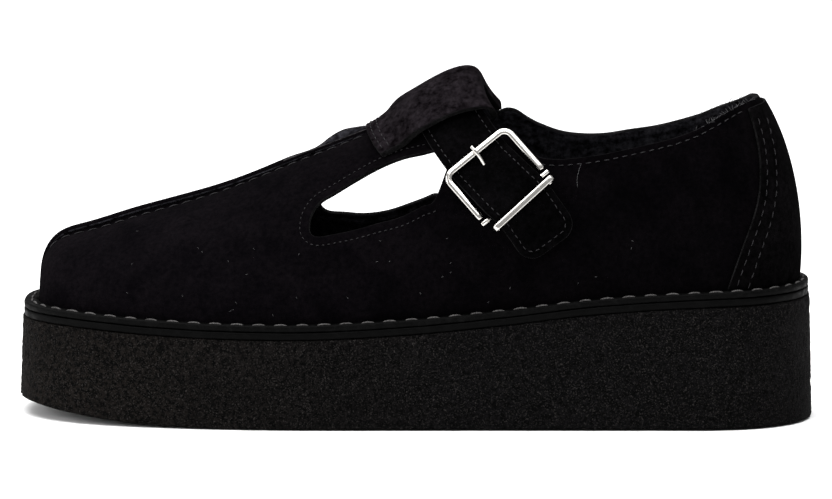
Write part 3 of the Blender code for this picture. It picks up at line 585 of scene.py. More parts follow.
def buckle_matrix():
    """Frame of the buckle: X from its top bar to its hinge pin, Y across it and Z away from the shoe."""
    top_lift = strap_clearance(TOP_BAR_PLACE) + STRAP_THICKNESS + GAP + BUCKLE_WIRE / 2
    here, _, sideways, normal = strap_frame(TOP_BAR_PLACE)
    top = here + normal * top_lift
    there, _, low_sideways, low_normal = strap_frame(TOP_BAR_PLACE + BUCKLE_LENGTH)
    pin = there + low_normal * PIN_LIFT
    along = (pin - top).normalized()
    sideways = sideways + low_sideways
    sideways = (sideways - along * sideways.dot(along)).normalized()
    return axes_matrix(top, along, sideways, along.cross(sideways)), (pin - top).length


# Materials

def shader_material(name, rgb, roughness, metallic=0.0):
    material = bpy.data.materials.new(name)
    material.use_nodes = True
    shader = material.node_tree.nodes["Principled BSDF"]
    shader.inputs["Base Color"].default_value = (*rgb, 1.0)
    shader.inputs["Roughness"].default_value = roughness
    shader.inputs["Metallic"].default_value = metallic
    return material, material.node_tree, shader


def node(tree, kind, inputs=None, **settings):
    """A new node with its settings, and its inputs linked or set by name or number."""
    made = tree.nodes.new(kind)
    for key, value in settings.items():
        setattr(made, key, value)
    for key, value in (inputs or {}).items():
        if isinstance(value, bpy.types.NodeSocket):
            tree.links.new(value, made.inputs[key])
        else:
            made.inputs[key].default_value = value
    return made


def object_place(tree):
    return node(tree, "ShaderNodeTexCoord").outputs["Object"]


def noise_factor(tree, place, scale, detail=3.0, rough=0.55, distortion=0.0):
    made = node(tree, "ShaderNodeTexNoise", {
        "Vector": place, "Scale": scale, "Detail": detail, "Roughness": rough, "Distortion": distortion,
    })
    return made.outputs["Fac"]


def ramp(tree, factor, stops):
    """A colour ramp over (place, colour) stops."""
    made = node(tree, "ShaderNodeValToRGB", {0: factor})
    elements = made.color_ramp.elements
    while len(elements) < len(stops):
        elements.new(0.5)
    for element, (place, value) in zip(elements, stops):
        element.position = place
        element.color = (*value, 1.0)
    return made.outputs[0]


def mix_colour(tree, factor, first, second):
    made = node(tree, "ShaderNodeMix", {0: factor, 6: first, 7: second}, data_type="RGBA")
    return made.outputs[2]


def multiply(tree, first, second):
    made = node(tree, "ShaderNodeMix", {0: 1.0, 6: first, 7: second}, data_type="RGBA", blend_type="MULTIPLY")
    return made.outputs[2]


def bump(tree, height, strength, distance, normal=None):
    inputs = {"Height": height, "Strength": strength, "Distance": distance}
    if normal is not None:
        inputs["Normal"] = normal
    return node(tree, "ShaderNodeBump", inputs).outputs["Normal"]


def grey(value):
    return (value, value, value)


def suede(name, dark, light, sheen=0.012, patch_scale=60.0, nap_scale=1700.0, painted_toe_light=1.0):
    """Short nap: broad stroked patches, fine mottling and a fibrous bump, with painted light that makes the
    colour lighter towards the toe.
    """
    material, tree, shader = shader_material(name, dark, 0.95)
    place = object_place(tree)
    patches = noise_factor(tree, place, patch_scale, 4.0, 0.6, 0.6)
    mottle = noise_factor(tree, place, nap_scale / 3, 3.0, 0.7)
    blend = node(tree, "ShaderNodeMath", {0: patches, 1: mottle}, operation="MULTIPLY").outputs[0]
    colour = ramp(tree, blend, ((0.14, dark), (0.40, light)))
    # Painted light: the colour is multiplied up towards the toe, standing in for light from the toe side.
    along = node(tree, "ShaderNodeSeparateXYZ", {0: place}).outputs[0]
    painted_toe_light_factor = node(tree, "ShaderNodeMapRange", {0: along, 1: 0.04, 2: -0.08, 3: 1.0, 4: painted_toe_light}).outputs[0]
    tree.links.new(multiply(tree, colour, painted_toe_light_factor), shader.inputs["Base Color"])
    shader.inputs["Sheen Weight"].default_value = sheen
    shader.inputs["Sheen Roughness"].default_value = 0.45
    shader.inputs["Specular IOR Level"].default_value = 0.0
    fibre = noise_factor(tree, place, nap_scale, 3.0, 0.75)
    rough = noise_factor(tree, place, nap_scale / 5, 3.0, 0.6)
    fine = bump(tree, fibre, 0.5, 0.00025)
    tree.links.new(bump(tree, rough, 0.35, 0.0005, fine), shader.inputs["Normal"])
    return material


def raw_edge(name, dark, light):
    """Cut edge of leather: pale fibres with dark dye between them."""
    material, tree, shader = shader_material(name, dark, 0.95)
    place = object_place(tree)
    fibres = noise_factor(tree, place, 900.0, 4.0, 0.7)
    worn = noise_factor(tree, place, 110.0, 3.0, 0.6)
    tone = node(tree, "ShaderNodeMath", {0: fibres, 1: worn}, operation="MULTIPLY").outputs[0]
    tree.links.new(ramp(tree, tone, ((0.16, dark), (0.42, light))), shader.inputs["Base Color"])
    shader.inputs["Sheen Weight"].default_value = 0.01
    shader.inputs["Specular IOR Level"].default_value = 0.02
    tree.links.new(bump(tree, fibres, 0.8, 0.0004), shader.inputs["Normal"])
    return material


def crepe(name):
    """Crumbly rubber between grains of half a millimetre, with painted shade in its pits, pale flecks as painted
    glints, and painted light that makes it lighter and browner at the toe.
    """
    material, tree, shader = shader_material(name, grey(0.01), 0.85)
    place = object_place(tree)
    grains = node(tree, "ShaderNodeTexVoronoi", {"Vector": place, "Scale": 1150.0, "Randomness": 1.0})
    grain = grains.outputs["Distance"]
    fine = noise_factor(tree, place, 1900.0, 3.0, 0.7)
    broken = noise_factor(tree, place, 620.0, 4.0, 0.75)
    broad = noise_factor(tree, place, 42.0, 3.0, 0.6)
    # Painted light: lighter and browner towards the toe, standing in for light from the toe side.
    along = node(tree, "ShaderNodeSeparateXYZ", {0: place}).outputs[0]
    toe = node(tree, "ShaderNodeMapRange", {0: along, 1: 0.02, 2: -SOLE_LENGTH / 2, 3: 0.0, 4: 1.0}).outputs[0]
    shade = mix_colour(tree, toe, (0.0024, 0.0022, 0.0025, 1.0), (0.0072, 0.0058, 0.0049, 1.0))
    # Painted shade: the colour goes nearly black where the broken noise is low, the same places that the bump
    # below sinks into pits.
    pit = ramp(tree, broken, ((0.45, grey(0.02)), (0.56, grey(1.0))))
    patch = ramp(tree, broad, ((0.30, grey(0.65)), (0.70, grey(1.25))))
    shade = multiply(tree, multiply(tree, shade, pit), patch)
    # Painted glints: pale flecks where the fine noise is high, the raised tops of the finest bump.
    glint_flecks = ramp(tree, fine, ((0.57, grey(0.0)), (0.66, grey(1.0))))
    tree.links.new(mix_colour(tree, glint_flecks, shade, (0.031, 0.028, 0.027, 1.0)), shader.inputs["Base Color"])
    shader.inputs["Specular IOR Level"].default_value = 0.04
    first = bump(tree, broken, 1.0, 0.0012)
    second = bump(tree, grain, 0.8, 0.0005, first)
    tree.links.new(bump(tree, fine, 0.7, 0.0003, second), shader.inputs["Normal"])
    return material


def smooth_band(name, rgb, roughness):
    """Smooth dyed edge with faint scuffs."""
    material, tree, shader = shader_material(name, rgb, roughness)
    place = object_place(tree)
    scuffs = noise_factor(tree, place, 260.0, 5.0, 0.65, 0.8)
    tree.links.new(
        ramp(tree, scuffs, ((0.35, grey(roughness - 0.12)), (0.7, grey(roughness + 0.25)))),
        shader.inputs["Roughness"],
    )
    lighter = tuple(6.0 * value for value in rgb)
    tree.links.new(ramp(tree, scuffs, ((0.48, rgb), (0.72, lighter))), shader.inputs["Base Color"])
    shader.inputs["Specular IOR Level"].default_value = 0.035
    grain = noise_factor(tree, place, 1400.0, 3.0, 0.6)
    tree.links.new(bump(tree, grain, 0.25, 0.0002), shader.inputs["Normal"])
    return material


def leather(name, rgb, roughness=0.6):
    """Grained leather with creased cells."""
    material, tree, shader = shader_material(name, rgb, roughness)
    place = object_place(tree)
    cells = node(tree, "ShaderNodeTexVoronoi", {"Vector": place, "Scale": 900.0}, feature="DISTANCE_TO_EDGE")
    tone = noise_factor(tree, place, 90.0, 4.0, 0.6)
    darker = tuple(0.55 * value for value in rgb)
    lighter = tuple(1.7 * value for value in rgb)
    tree.links.new(ramp(tree, tone, ((0.3, darker), (0.7, lighter))), shader.inputs["Base Color"])
    shader.inputs["Specular IOR Level"].default_value = 0.08
    tree.links.new(bump(tree, cells.outputs["Distance"], 0.3, 0.0002), shader.inputs["Normal"])
    return material


def nickel(name):
    """Polished plate with fine wipe marks."""
    material, tree, shader = shader_material(name, (0.62, 0.60, 0.57), 0.14, 1.0)
    place = object_place(tree)
    marks = noise_factor(tree, place, 700.0, 4.0, 0.6, 1.0)
    tree.links.new(ramp(tree, marks, ((0.3, grey(0.10)), (0.8, grey(0.26)))), shader.inputs["Roughness"])
    tree.links.new(bump(tree, marks, 0.04, 0.0001), shader.inputs["Normal"])
    return material


def thread(name, dark, light):
    """Twisted thread, with painted shade that darkens it where its lay sinks."""
    material, tree, shader = shader_material(name, dark, 0.8)
    place = object_place(tree)
    lay = noise_factor(tree, place, 2400.0, 2.0, 0.6)
    # Painted shade: the colour darkens where the lay noise is low, which is where its bump sinks.
    tree.links.new(ramp(tree, lay, ((0.35, dark), (0.65, light))), shader.inputs["Base Color"])
    shader.inputs["Specular IOR Level"].default_value = 0.15
    tree.links.new(bump(tree, lay, 0.6, 0.0002), shader.inputs["Normal"])
    return material


# Meshes

def mesh_piece(name, points, faces, materials, indices=None, smooth=True):
    mesh = bpy.data.meshes.new(name)
    mesh.from_pydata([tuple(map(float, point)) for point in points], [], faces)
    for material in materials:
        mesh.materials.append(material)
    if indices is not None:
        mesh.polygons.foreach_set("material_index", indices)
    if smooth:
        mesh.shade_smooth()
    mesh.update()
    piece = bpy.data.objects.new(name, mesh)
    bpy.context.scene.collection.objects.link(piece)
    return piece


def face_normals(points, faces):
    """Normal of each vertex, from the faces round it."""
    total = np.zeros_like(points)
    for face in faces:
        corners = points[list(face)]
        centre = corners.mean(0)
        turn = np.cross(corners - centre, np.roll(corners, -1, 0) - centre).sum(0)
        total[list(face)] += turn
    length = np.linalg.norm(total, axis=1)
    return total / np.maximum(length, 1e-12)[:, None]


def grid_faces(rows, columns, closed=False):
    """Quads of a grid whose points run row by row."""
    faces = []
    last = columns if closed else columns - 1
    for row in range(rows - 1):
        for k in range(last):
            following = (k + 1) % columns
            faces.append((
                row * columns + k, row * columns + following,
                (row + 1) * columns + following, (row + 1) * columns + k,
            ))
    return faces


EdgePoint = namedtuple("EdgePoint", "depth swell")
RAW_EDGE = (
    EdgePoint(0.10, 0.75),
    EdgePoint(0.30, 1.00),
    EdgePoint(0.70, 1.00),
    EdgePoint(0.90, 0.75),
)


def hide_sheet(name, outer, faces, normals, thickness, materials, swell=0.00022, marks=None):
    """Leather of a thickness under an outer surface, with rounded raw edges.

    The materials are those of the face, the raw edge and the back.
    """
    count = len(outer)
    inner = outer - normals * np.reshape(thickness, (-1, 1))
    made = [tuple(face) for face in faces]
    made += [tuple(count + corner for corner in reversed(face)) for face in faces]
    indices = list(marks) if marks is not None else [0] * len(faces)
    indices += [2] * len(faces)
    sides = {}
    for face in faces:
        for start, finish in zip(face, face[1:] + face[:1]):
            sides[(start, finish)] = True
    rim = {start: finish for start, finish in sides if (finish, start) not in sides}
    before = {finish: start for start, finish in rim.items()}
    points = [outer, inner]
    rings = {}
    extra = []
    base = 2 * count
    for corner, following in rim.items():
        along = outer[following] - outer[before[corner]]
        away = np.cross(along, normals[corner])
        away = away / max(np.linalg.norm(away), 1e-12)
        ring = []
        for step in RAW_EDGE:
            place = outer[corner] * (1 - step.depth) + inner[corner] * step.depth
            extra.append(place + away * swell * step.swell)
            ring.append(base + len(extra) - 1)
        rings[corner] = [corner, *ring, count + corner]
    for corner, following in rim.items():
        first, second = rings[corner], rings[following]
        for k in range(len(first) - 1):
            made.append((first[k], first[k + 1], second[k + 1], second[k]))
            indices.append(1)
    points = np.vstack([outer, inner] + ([np.array(extra)] if extra else []))
    return mesh_piece(name, points, made, materials, indices)


def lay_out(path, pitch, start=0.0):
    """Even places along a path of (point, normal), as (point, normal, direction)."""
    points = np.array([tuple(point) for point, _ in path])
    normals = np.array([tuple(normal) for _, normal in path])
    run = np.concatenate(([0.0], np.cumsum(np.linalg.norm(np.diff(points, axis=0), axis=1))))
    count = max(1, int(round((run[-1] - start) / pitch)))
    places = []
    for k in range(count):
        at = start + (k + 0.5) * (run[-1] - start) / count
        here = np.array([np.interp(at, run, points[:, axis]) for axis in range(3)])
        ahead = np.array([np.interp(at + pitch / 4, run, points[:, axis]) for axis in range(3)])
        behind = np.array([np.interp(at - pitch / 4, run, points[:, axis]) for axis in range(3)])
        normal = np.array([np.interp(at, run, normals[:, axis]) for axis in range(3)])
        direction = ahead - behind
        length = np.linalg.norm(direction)
        if length < 1e-9:
            continue
        direction = direction / length
        normal = normal - direction * normal.dot(direction)
        places.append((here, normal / np.linalg.norm(normal), direction))
    return places


STITCH_SIDES = 6
STITCH_RINGS = 6


def stitch_mesh(places, row, lift=0.3):
    """Points and faces of a row of stitches, each an arched strand that dives in at both ends."""
    points, faces = [], []
    for here, normal, direction in places:
        across = np.cross(normal, direction)
        twist = 0.10 * random.uniform(-1, 1)
        direction = direction + across * twist
        length = row.length * random.uniform(0.93, 1.07)
        base = len(points)
        for ring in range(STITCH_RINGS + 1):
            f = ring / STITCH_RINGS
            arch = math.sin(math.pi * f)
            centre = here + direction * length * (f - 0.5) + normal * row.radius * (1.3 * arch**0.6 - 1.1 + lift)
            size = row.radius * (0.45 + 0.55 * arch**0.5)
            for k in range(STITCH_SIDES):
                turn = 2 * math.pi * k / STITCH_SIDES
                points.append(centre + size * (across * math.cos(turn) + normal * math.sin(turn)))
        for face in grid_faces(STITCH_RINGS + 1, STITCH_SIDES, closed=True):
            faces.append(tuple(base + corner for corner in face))
        faces.append(tuple(base + k for k in reversed(range(STITCH_SIDES))))
        end = base + STITCH_RINGS * STITCH_SIDES
        faces.append(tuple(end + k for k in range(STITCH_SIDES)))
    return points, faces


def stitches(name, paths, row, material):
    """One piece for the stitch rows along several paths."""
    points, faces = [], []
    for path in paths:
        more, sides = stitch_mesh(lay_out(path, row.pitch), row)
        faces += [tuple(len(points) + corner for corner in face) for face in sides]
        points += more
    piece = mesh_piece(name, points, faces, [material])
    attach(piece, "root")
    return piece


def groove(points, normals, paths, depth, width):
    """Sinks a surface along paths of (point, normal)."""
    marks = [tuple(point) for path in paths for point, _ in path]
    tree = KDTree(len(marks))
    for k, mark in enumerate(marks):
        tree.insert(mark, k)
    tree.balance()
    near = np.array([tree.find(point)[2] for point in points])
    return points - normals * (depth * np.exp(-((near / width) ** 2)))[:, None]


def smooth_path(path, spacing):
    """The path of (point, normal) again at an even spacing."""
    return [(Vector(here), Vector(normal)) for here, normal, _ in lay_out(path, spacing)]


def finish_piece(piece, slot, *replaced):
    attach(piece, "root")
    if replaced:
        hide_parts(*replaced)
    return piece


# Sole

SOLE_COLUMNS = 400
RING_SHARES = even_shares(SOLE_COLUMNS)


def outline_points(margin):
    """Points round an outline, outer side toe to heel and inner side back."""
    outer = [edge(share, OUTER, margin) for share in RING_SHARES]
    inner = [edge(share, INNER, margin) for share in RING_SHARES[1:-1][::-1]]
    return np.array(outer + inner)


def crepe_top(x):
    return top_height(x) - WELT_THICKNESS - MIDSOLE_THICKNESS - 2 * GAP


def midsole_top(x):
    return top_height(x) - WELT_THICKNESS - GAP


def cap(base, count):
    """Faces across a ring of points that runs up one side and back down the other."""
    faces = []
    for k in range(count // 2):
        face = [base + k, base + k + 1, base + (count - k - 1) % count, base + (count - k) % count]
        distinct = []
        for corner in face:
            if corner not in distinct:
                distinct.append(corner)
        if len(distinct) > 2:
            faces.append(tuple(distinct))
    return faces


def ring_stack(rings, caps=True, closed=False):
    """Points and faces of rings stacked upward."""
    count = len(rings[0])
    points = np.vstack(rings)
    order = list(range(len(rings))) + ([0] if closed else [])
    faces = []
    for low, high in zip(order, order[1:]):
        for k in range(count):
            following = (k + 1) % count
            faces.append((low * count + k, low * count + following, high * count + following, high * count + k))
    if caps and not closed:
        faces += [tuple(reversed(face)) for face in cap(0, count)]
        faces += cap((len(rings) - 1) * count, count)
    return points, faces


CREPE_ROWS = 46
CRUMB_DEPTH = 0.0010
CRUMB_SIZE = 0.0021
CRUMB_MEAN = 0.35


def crumb(point):
    """Depth of the crepe's pits at a point, about nought on the whole."""
    at = Vector(point)
    cells = noise.voronoi(at / CRUMB_SIZE, distance_metric="DISTANCE", exponent=2.5)[0]
    pit = max(0.0, 1.0 - 1.25 * cells[0])
    broken = noise.noise(at / (3.2 * CRUMB_SIZE)) * 0.5 + 0.5
    fine = noise.noise(at / (0.45 * CRUMB_SIZE)) * 0.5 + 0.5
    return pit * broken * 1.1 + 0.25 * fine - CRUMB_MEAN


def make_outsole(material):
    """Crepe wedge with a crumbly side that leans in a little towards its top."""
    low = outline_points(SOLE_EDGE)
    high = outline_points(even_margin(SOLE_DRAFT))
    foot = outline_points(even_margin(0.0012))
    rings = []
    heights_low = np.array([underside(x) for x in low[:, 0]])
    heights_high = np.array([crepe_top(x) for x in low[:, 0]])
    centre = low.mean(0)
    rings.append(np.column_stack((foot, [underside(x) for x in foot[:, 0]])))
    for row in range(CREPE_ROWS + 1):
        f = 0.012 + (row / CREPE_ROWS) * 0.976
        xy = low * (1 - f) + high * f
        rings.append(np.column_stack((xy, heights_low * (1 - f) + heights_high * f)))
    inset = outline_points(even_margin(SOLE_DRAFT + 0.0012))
    rings.append(np.column_stack((inset, [crepe_top(x) for x in inset[:, 0]])))
    points, faces = ring_stack(rings)
    count = len(low)
    around_edge = np.roll(low, -1, 0) - np.roll(low, 1, 0)
    away = np.column_stack((around_edge[:, 1], -around_edge[:, 0], np.zeros(count)))
    away /= np.linalg.norm(away, axis=1)[:, None]
    away *= np.sign(((low - centre) * away[:, :2]).sum(1))[:, None]
    for row in range(1, CREPE_ROWS + 2):
        for k in range(count):
            index = row * count + k
            points[index] -= away[k] * CRUMB_DEPTH * crumb(points[index])
    piece = mesh_piece("crepe_sole", points, faces, [material])
    return finish_piece(piece, "black_crepe", "outsole")


def band(name, margin, bottom, top, rounding_size, material, wave=0.00012, inside=None):
    """A layer of the sole with softly rounded edges. With an inside it is a closed strip."""
    rings = []
    if inside is not None:
        ring = outline_points(inside)
        rings.append(np.column_stack((ring, [bottom(x) for x in ring[:, 0]])))
    turns = np.linspace(-math.pi / 2, math.pi / 2, 9)
    for turn in turns:
        ring = outline_points(even_margin(margin + rounding_size * (1 - math.cos(turn))))
        low = np.array([bottom(x) for x in ring[:, 0]])
        high = np.array([top(x) for x in ring[:, 0]])
        if turn < 0:
            level = low + rounding_size * (1 + math.sin(turn))
        else:
            level = high - rounding_size * (1 - math.sin(turn))
        ripple = np.array([noise.noise(Vector((x, y, turn * 0.002)) / 0.012) for x, y in ring])
        rings.append(np.column_stack((ring, level + wave * ripple)))
    if inside is not None:
        ring = outline_points(inside)
        rings.append(np.column_stack((ring, [top(x) for x in ring[:, 0]])))
    points, faces = ring_stack(rings, closed=inside is not None)
    return mesh_piece(name, points, faces, [material])


def make_midsole(material):
    piece = band("midsole_band", BAND_INSET, lambda x: crepe_top(x) + GAP / 2, midsole_top, 0.0006, material)
    return finish_piece(piece, "midsole_rubber", "midsole")


def make_welt(material):
    inside = wider(LAST_MARGIN, -GAP)
    piece = band(
        "welt_strip", BAND_INSET, lambda x: midsole_top(x) + GAP, top_height, 0.0007, material, inside=inside
    )
    return finish_piece(piece, "welt_leather", "welt")


INSOLE_ROWS = 14


def make_insole(material):
    """Sock of the shoe, dished a little where the heel and ball rest."""
    inside = wider(LAST_MARGIN, UPPER_WALL + GAP)
    rings = []
    full = outline_points(inside)
    middle_line = np.array([(x, middle(x)) for x in full[:, 0]])
    low = [midsole_top(x) + GAP for x in full[:, 0]]
    rings.append(np.column_stack((full, low)))
    for row in range(INSOLE_ROWS):
        f = 1 - (row / INSOLE_ROWS) ** 1.6
        xy = middle_line + (full - middle_line) * f
        dish = 0.0006 * (1 - f**2)
        level = [midsole_top(x) + GAP + INSOLE_THICKNESS - dish for x in xy[:, 0]]
        rings.append(np.column_stack((xy, level)))
    points, faces = ring_stack(rings)
    piece = mesh_piece("sock", points, faces, [material])
    return finish_piece(piece, "insole_leather", "insole")


# Upper

TOE_COLUMNS = 70
BODY_SPACING = 0.0035
FAN_COLUMNS = 34
EDGE_ROWS = (0.0, 0.0006, 0.0012, 0.0018, 0.0024, 0.0030, 0.0036, 0.0044, 0.0056, 0.0075)
WALL_ROWS = 34
BAR_ROWS = 16


def upper_stations():
    """Places of the upper's sections, close where its edges turn."""
    toe = [CUT_FRONT * (k / TOE_COLUMNS) ** 1.6 for k in range(TOE_COLUMNS + 1)]
    turns = [math.pi / 2 * k / 12 for k in range(1, 13)]
    front = [CUT_FRONT + CUT_ROUND * (1 - math.cos(turn)) for turn in turns]
    marks = sorted([front[-1]] + [row.share for row in RIM if front[-1] < row.share < HEEL_CENTRE])
    marks += [T_BAR_END, SEAM_END, HEEL_CENTRE]
    marks = sorted(set(marks))
    behind = []
    for a, b in zip(marks, marks[1:]):
        count = max(2, math.ceil((b - a) / BODY_SPACING))
        behind += list(np.linspace(a, b, count + 1))
    fan = [1 - (1 - HEEL_CENTRE) * (1 - k / FAN_COLUMNS) ** 1.7 for k in range(FAN_COLUMNS + 1)]
    return sorted(set(round(share, 6) for share in toe + front + behind + fan))


def rib_run(share, side):
    """Fine steps of a rib and the distance along it at each."""
    points = rib(share, side, FINE)
    return np.concatenate(([0.0], np.cumsum(np.linalg.norm(np.diff(points, axis=0), axis=1))))


def wall_steps(share, side):
    """Steps of the lower wall's rows, from the welt to its free edge, close near that edge."""
    run = rib_run(share, side)
    end = np.interp(split_step(share, side)[0], FINE, run)
    scale = min(1.0, end / (2 * EDGE_ROWS[-1]))
    near = [end - row * scale for row in reversed(EDGE_ROWS)]
    far = np.linspace(0.0, near[0], WALL_ROWS)
    return np.interp(list(far[:-1]) + near, run, FINE)


SeamRow = namedtuple("SeamRow", "reach lift lean")
SEAM_PROFILE = (
    SeamRow(1.90, 0.00, 0.0),
    SeamRow(1.25, -0.06, 0.0),
    SeamRow(1.00, 0.12, 0.0),
    SeamRow(0.96, 0.55, 0.2),
    SeamRow(0.92, 0.92, 0.5),
    SeamRow(0.72, 1.04, 0.5),
    SeamRow(0.42, 1.02, 0.5),
    SeamRow(0.16, 0.92, 0.4),
    SeamRow(0.00, 0.55, 0.0),
)


def bar_steps(share, side):
    """Steps of the wall above the cut-out, from its lower edge to the centre seam."""
    run = rib_run(share, side)
    start = np.interp(split_step(share, side)[1], FINE, run)
    seam = np.interp(step_at_reach(share, side, 2.6 * SEAM_WIDTH / 2), FINE, run)
    start = min(start, seam - 0.0002)
    scale = min(1.0, (seam - start) / (2 * EDGE_ROWS[-1]))
    near = [start + row * scale for row in EDGE_ROWS]
    far = np.linspace(near[-1], seam, BAR_ROWS)
    return np.interp(near + list(far[1:]), run, FINE)


FlapRow = namedtuple("FlapRow", "share near far flare")
FLAP = (
    FlapRow(0.000, 0.80, 0.80, 0.0),
    FlapRow(0.060, 1.05, 1.10, 0.0),
    FlapRow(0.182, 1.05, 1.10, 0.0),
    FlapRow(0.290, 0.85, 0.90, 0.0),
    FlapRow(0.330, 0.80, 0.95, 0.1),
    FlapRow(0.372, 0.75, 0.95, 0.3),
    FlapRow(0.384, 0.72, 1.45, 0.8),
    FlapRow(0.400, 0.70, 1.75, 1.1),
    FlapRow(0.421, 0.62, 1.30, 1.0),
    FlapRow(0.433, 0.50, 0.90, 0.8),
    FlapRow(0.445, 0.10, 0.20, 0.2),
)


class Surface:
    """Corners and faces of an open surface, with the faces' marks. Corners at one place are one corner."""

    def __init__(self):
        self.found = {}
        self.points = []
        self.faces = []
        self.marks = []

    def corner(self, point, level=0):
        key = (*(round(float(value), 6) for value in point), level)
        if key not in self.found:
            self.found[key] = len(self.points)
            self.points.append(np.array(point, dtype=float))
        return self.found[key]

    def face(self, corners, mark):
        kept = tuple(corner for k, corner in enumerate(corners) if corner != corners[k - 1])
        if len(set(kept)) == len(kept) and len(kept) > 2:
            self.faces.append(kept)
            self.marks.append(mark)

    def strip(self, column, following, marks=None):
        for k in range(len(column) - 1):
            mark = marks[k] if marks else 0
            self.face((column[k], following[k], following[k + 1], column[k + 1]), mark)


def seam_column(share, side, surface):
    """The raised edge of one panel at the centre seam, from its foot to the slit between the panels."""
    height = SEAM_HEIGHT * follow(FLAP, "near" if side == OUTER else "far", share)
    flare = 0.0 if side == OUTER else 0.0012 * follow(FLAP, "flare", share)
    crown = rib(share, side, (1.0,))[0]
    half = SEAM_WIDTH / 2
    column = []
    for row in SEAM_PROFILE:
        base = rib(share, side, (step_at_reach(share, side, row.reach * half),))[0]
        lift = height * row.lift
        away = side * flare * row.lean * row.lift
        point = base + np.array([0.0, away, lift])
        if row.reach == 0.0:
            point = crown + np.array([0.0, 0.0, SEAM_HEIGHT * 0.5 * follow(FLAP, "near", share)])
        column.append(surface.corner(point))
    return column


def make_upper(materials):
    """Two panels that meet in a raised centre seam, with the quarters, wings and T-bar in one wall."""
    surface = Surface()
    stations = upper_stations()
    line = [(share, OUTER) for share in stations] + [(share, INNER) for share in stations[-2::-1]]
    lower = []
    for share, side in line:
        points = rib(share, side, wall_steps(share, side))
        foot = points[0] - np.array([0.0, 0.0, WELT_THICKNESS])
        lower.append([surface.corner(point) for point in [foot, *points]])
    for column, following in zip(lower, lower[1:]):
        surface.strip(column, following)
    for side in (OUTER, INNER):
        upper = []
        for share in (share for share in stations if share <= T_BAR_END):
            column = [surface.corner(point) for point in rib(share, side, bar_steps(share, side))]
            upper.append(column + seam_column(share, side, surface))
        flat = len(upper[0]) - len(SEAM_PROFILE)
        marks = [0] * (flat + 4) + [3] * 4
        for share, column, following in zip(stations, upper, upper[1:]):
            pair = (column, following) if side == OUTER else (following, column)
            surface.strip(*pair, marks if SEAM_WORN < share < SEAM_END else None)
    points = np.array(surface.points)
    normals = face_normals(points, surface.faces)
    rows = upper_rows()
    for path_group, depth, width in rows:
        points = groove(points, normals, path_group, depth, width)
    normals = face_normals(points, surface.faces)
    piece = hide_sheet("suede_upper", points, surface.faces, normals, UPPER_WALL, materials, marks=surface.marks)
    return finish_piece(piece, "black_suede", "upper")


def surface_place(share, side, step):
    """Point of the last and its outward normal at a place on a rib."""
    here = rib(share, side, (step,))[0]
    ahead = rib(share, side, (min(1.0, step + 0.01),))[0] - rib(share, side, (max(0.0, step - 0.01),))[0]
    along = rib(min(1.0, share + 0.003), side, (step,))[0] - rib(max(0.0, share - 0.003), side, (step,))[0]
    normal = np.cross(along, ahead) * -side
    length = np.linalg.norm(normal)
    if length < 1e-12:
        return Vector(here), Vector((0.0, 0.0, 1.0))
    return Vector(here), Vector(normal / length)


def edge_curve(side, shares, height):
    """Path on the last along heights above the welt."""
    return [surface_place(share, side, step_at_height(share, side, height(share))) for share in shares]


def offset_path(path, distance):
    """The path moved over the surface to the left of its direction, seen from outside."""
    moved = []
    for k, (point, normal) in enumerate(path):
        before = path[max(k - 1, 0)][0]
        after = path[min(k + 1, len(path) - 1)][0]
        direction = (after - before).normalized()
        moved.append((point + normal.cross(direction) * distance, normal))
    return moved


def settle(path):
    """The path laid back on the last."""
    laid = []
    for point, _ in path:
        laid.append(around(*lean_of(point)))
    return laid


def cut_out_path(side):
    """Edge of a cut-out from the wing in front of the strap, round the front end and back along the T-bar."""
    low = np.linspace(0.528, CUT_FRONT + CUT_ROUND, 40)
    turns = np.linspace(math.pi / 2, 0, 14)[1:]
    front = [CUT_FRONT + CUT_ROUND * (1 - math.cos(turn)) for turn in turns]
    under = edge_curve(side, list(low) + front, lambda share: rim_height(share, side))
    over = edge_curve(side, front[::-1][1:] + list(low[::-1]), bar_height)
    return under + over


def upper_rows():
    """Stitch rows that sink into the upper: paths, depth and width."""
    return [
        ([path for path in CUT_PATHS.values()], 0.00030, 0.0009),
        ([path for path in COLLAR_PATHS.values()], 0.00025, 0.0009),
        ([path for path in SEAM_PATHS.values()], 0.00030, 0.0010),
    ]


def cut_paths():
    paths = {}
    for side in (OUTER, INNER):
        turn = -side * CUT_ROW.inset
        paths[side] = smooth_path(settle(offset_path(smooth_path(cut_out_path(side), 0.0012), turn)), 0.0006)
    return paths


def collar_paths():
    paths = {}
    for side in (OUTER, INNER):
        shares = list(np.linspace(0.655, 0.962, 90))
        path = edge_curve(side, shares, lambda share: rim_height(share, side))
        paths[side] = smooth_path(offset_path(smooth_path(path, 0.0015), side * COLLAR_ROW.inset), 0.0006)
    return paths


def seam_paths():
    paths = {}
    for side in (OUTER, INNER):
        shares = np.linspace(0.012, SEAM_END - 0.002, 120)
        reach = SEAM_ROW.inset + SEAM_WIDTH / 2
        steps = [step_at_reach(share, side, reach) for share in shares]
        path = [surface_place(share, side, step) for share, step in zip(shares, steps)]
        paths[side] = smooth_path(path, 0.0006)
    return paths


CUT_PATHS = cut_paths()
COLLAR_PATHS = collar_paths()
SEAM_PATHS = seam_paths()

COUNTER_COLUMNS = 34
COUNTER_ROWS = 60


def counter_point(turn, height):
    side = OUTER if turn < 0 else INNER
    share = 1 - follow(COUNTER, "reach", height) * turn * turn
    step = step_at_height(share, side, rim_height(share, side) * COUNTER_TOP * height)
    return share, side, step


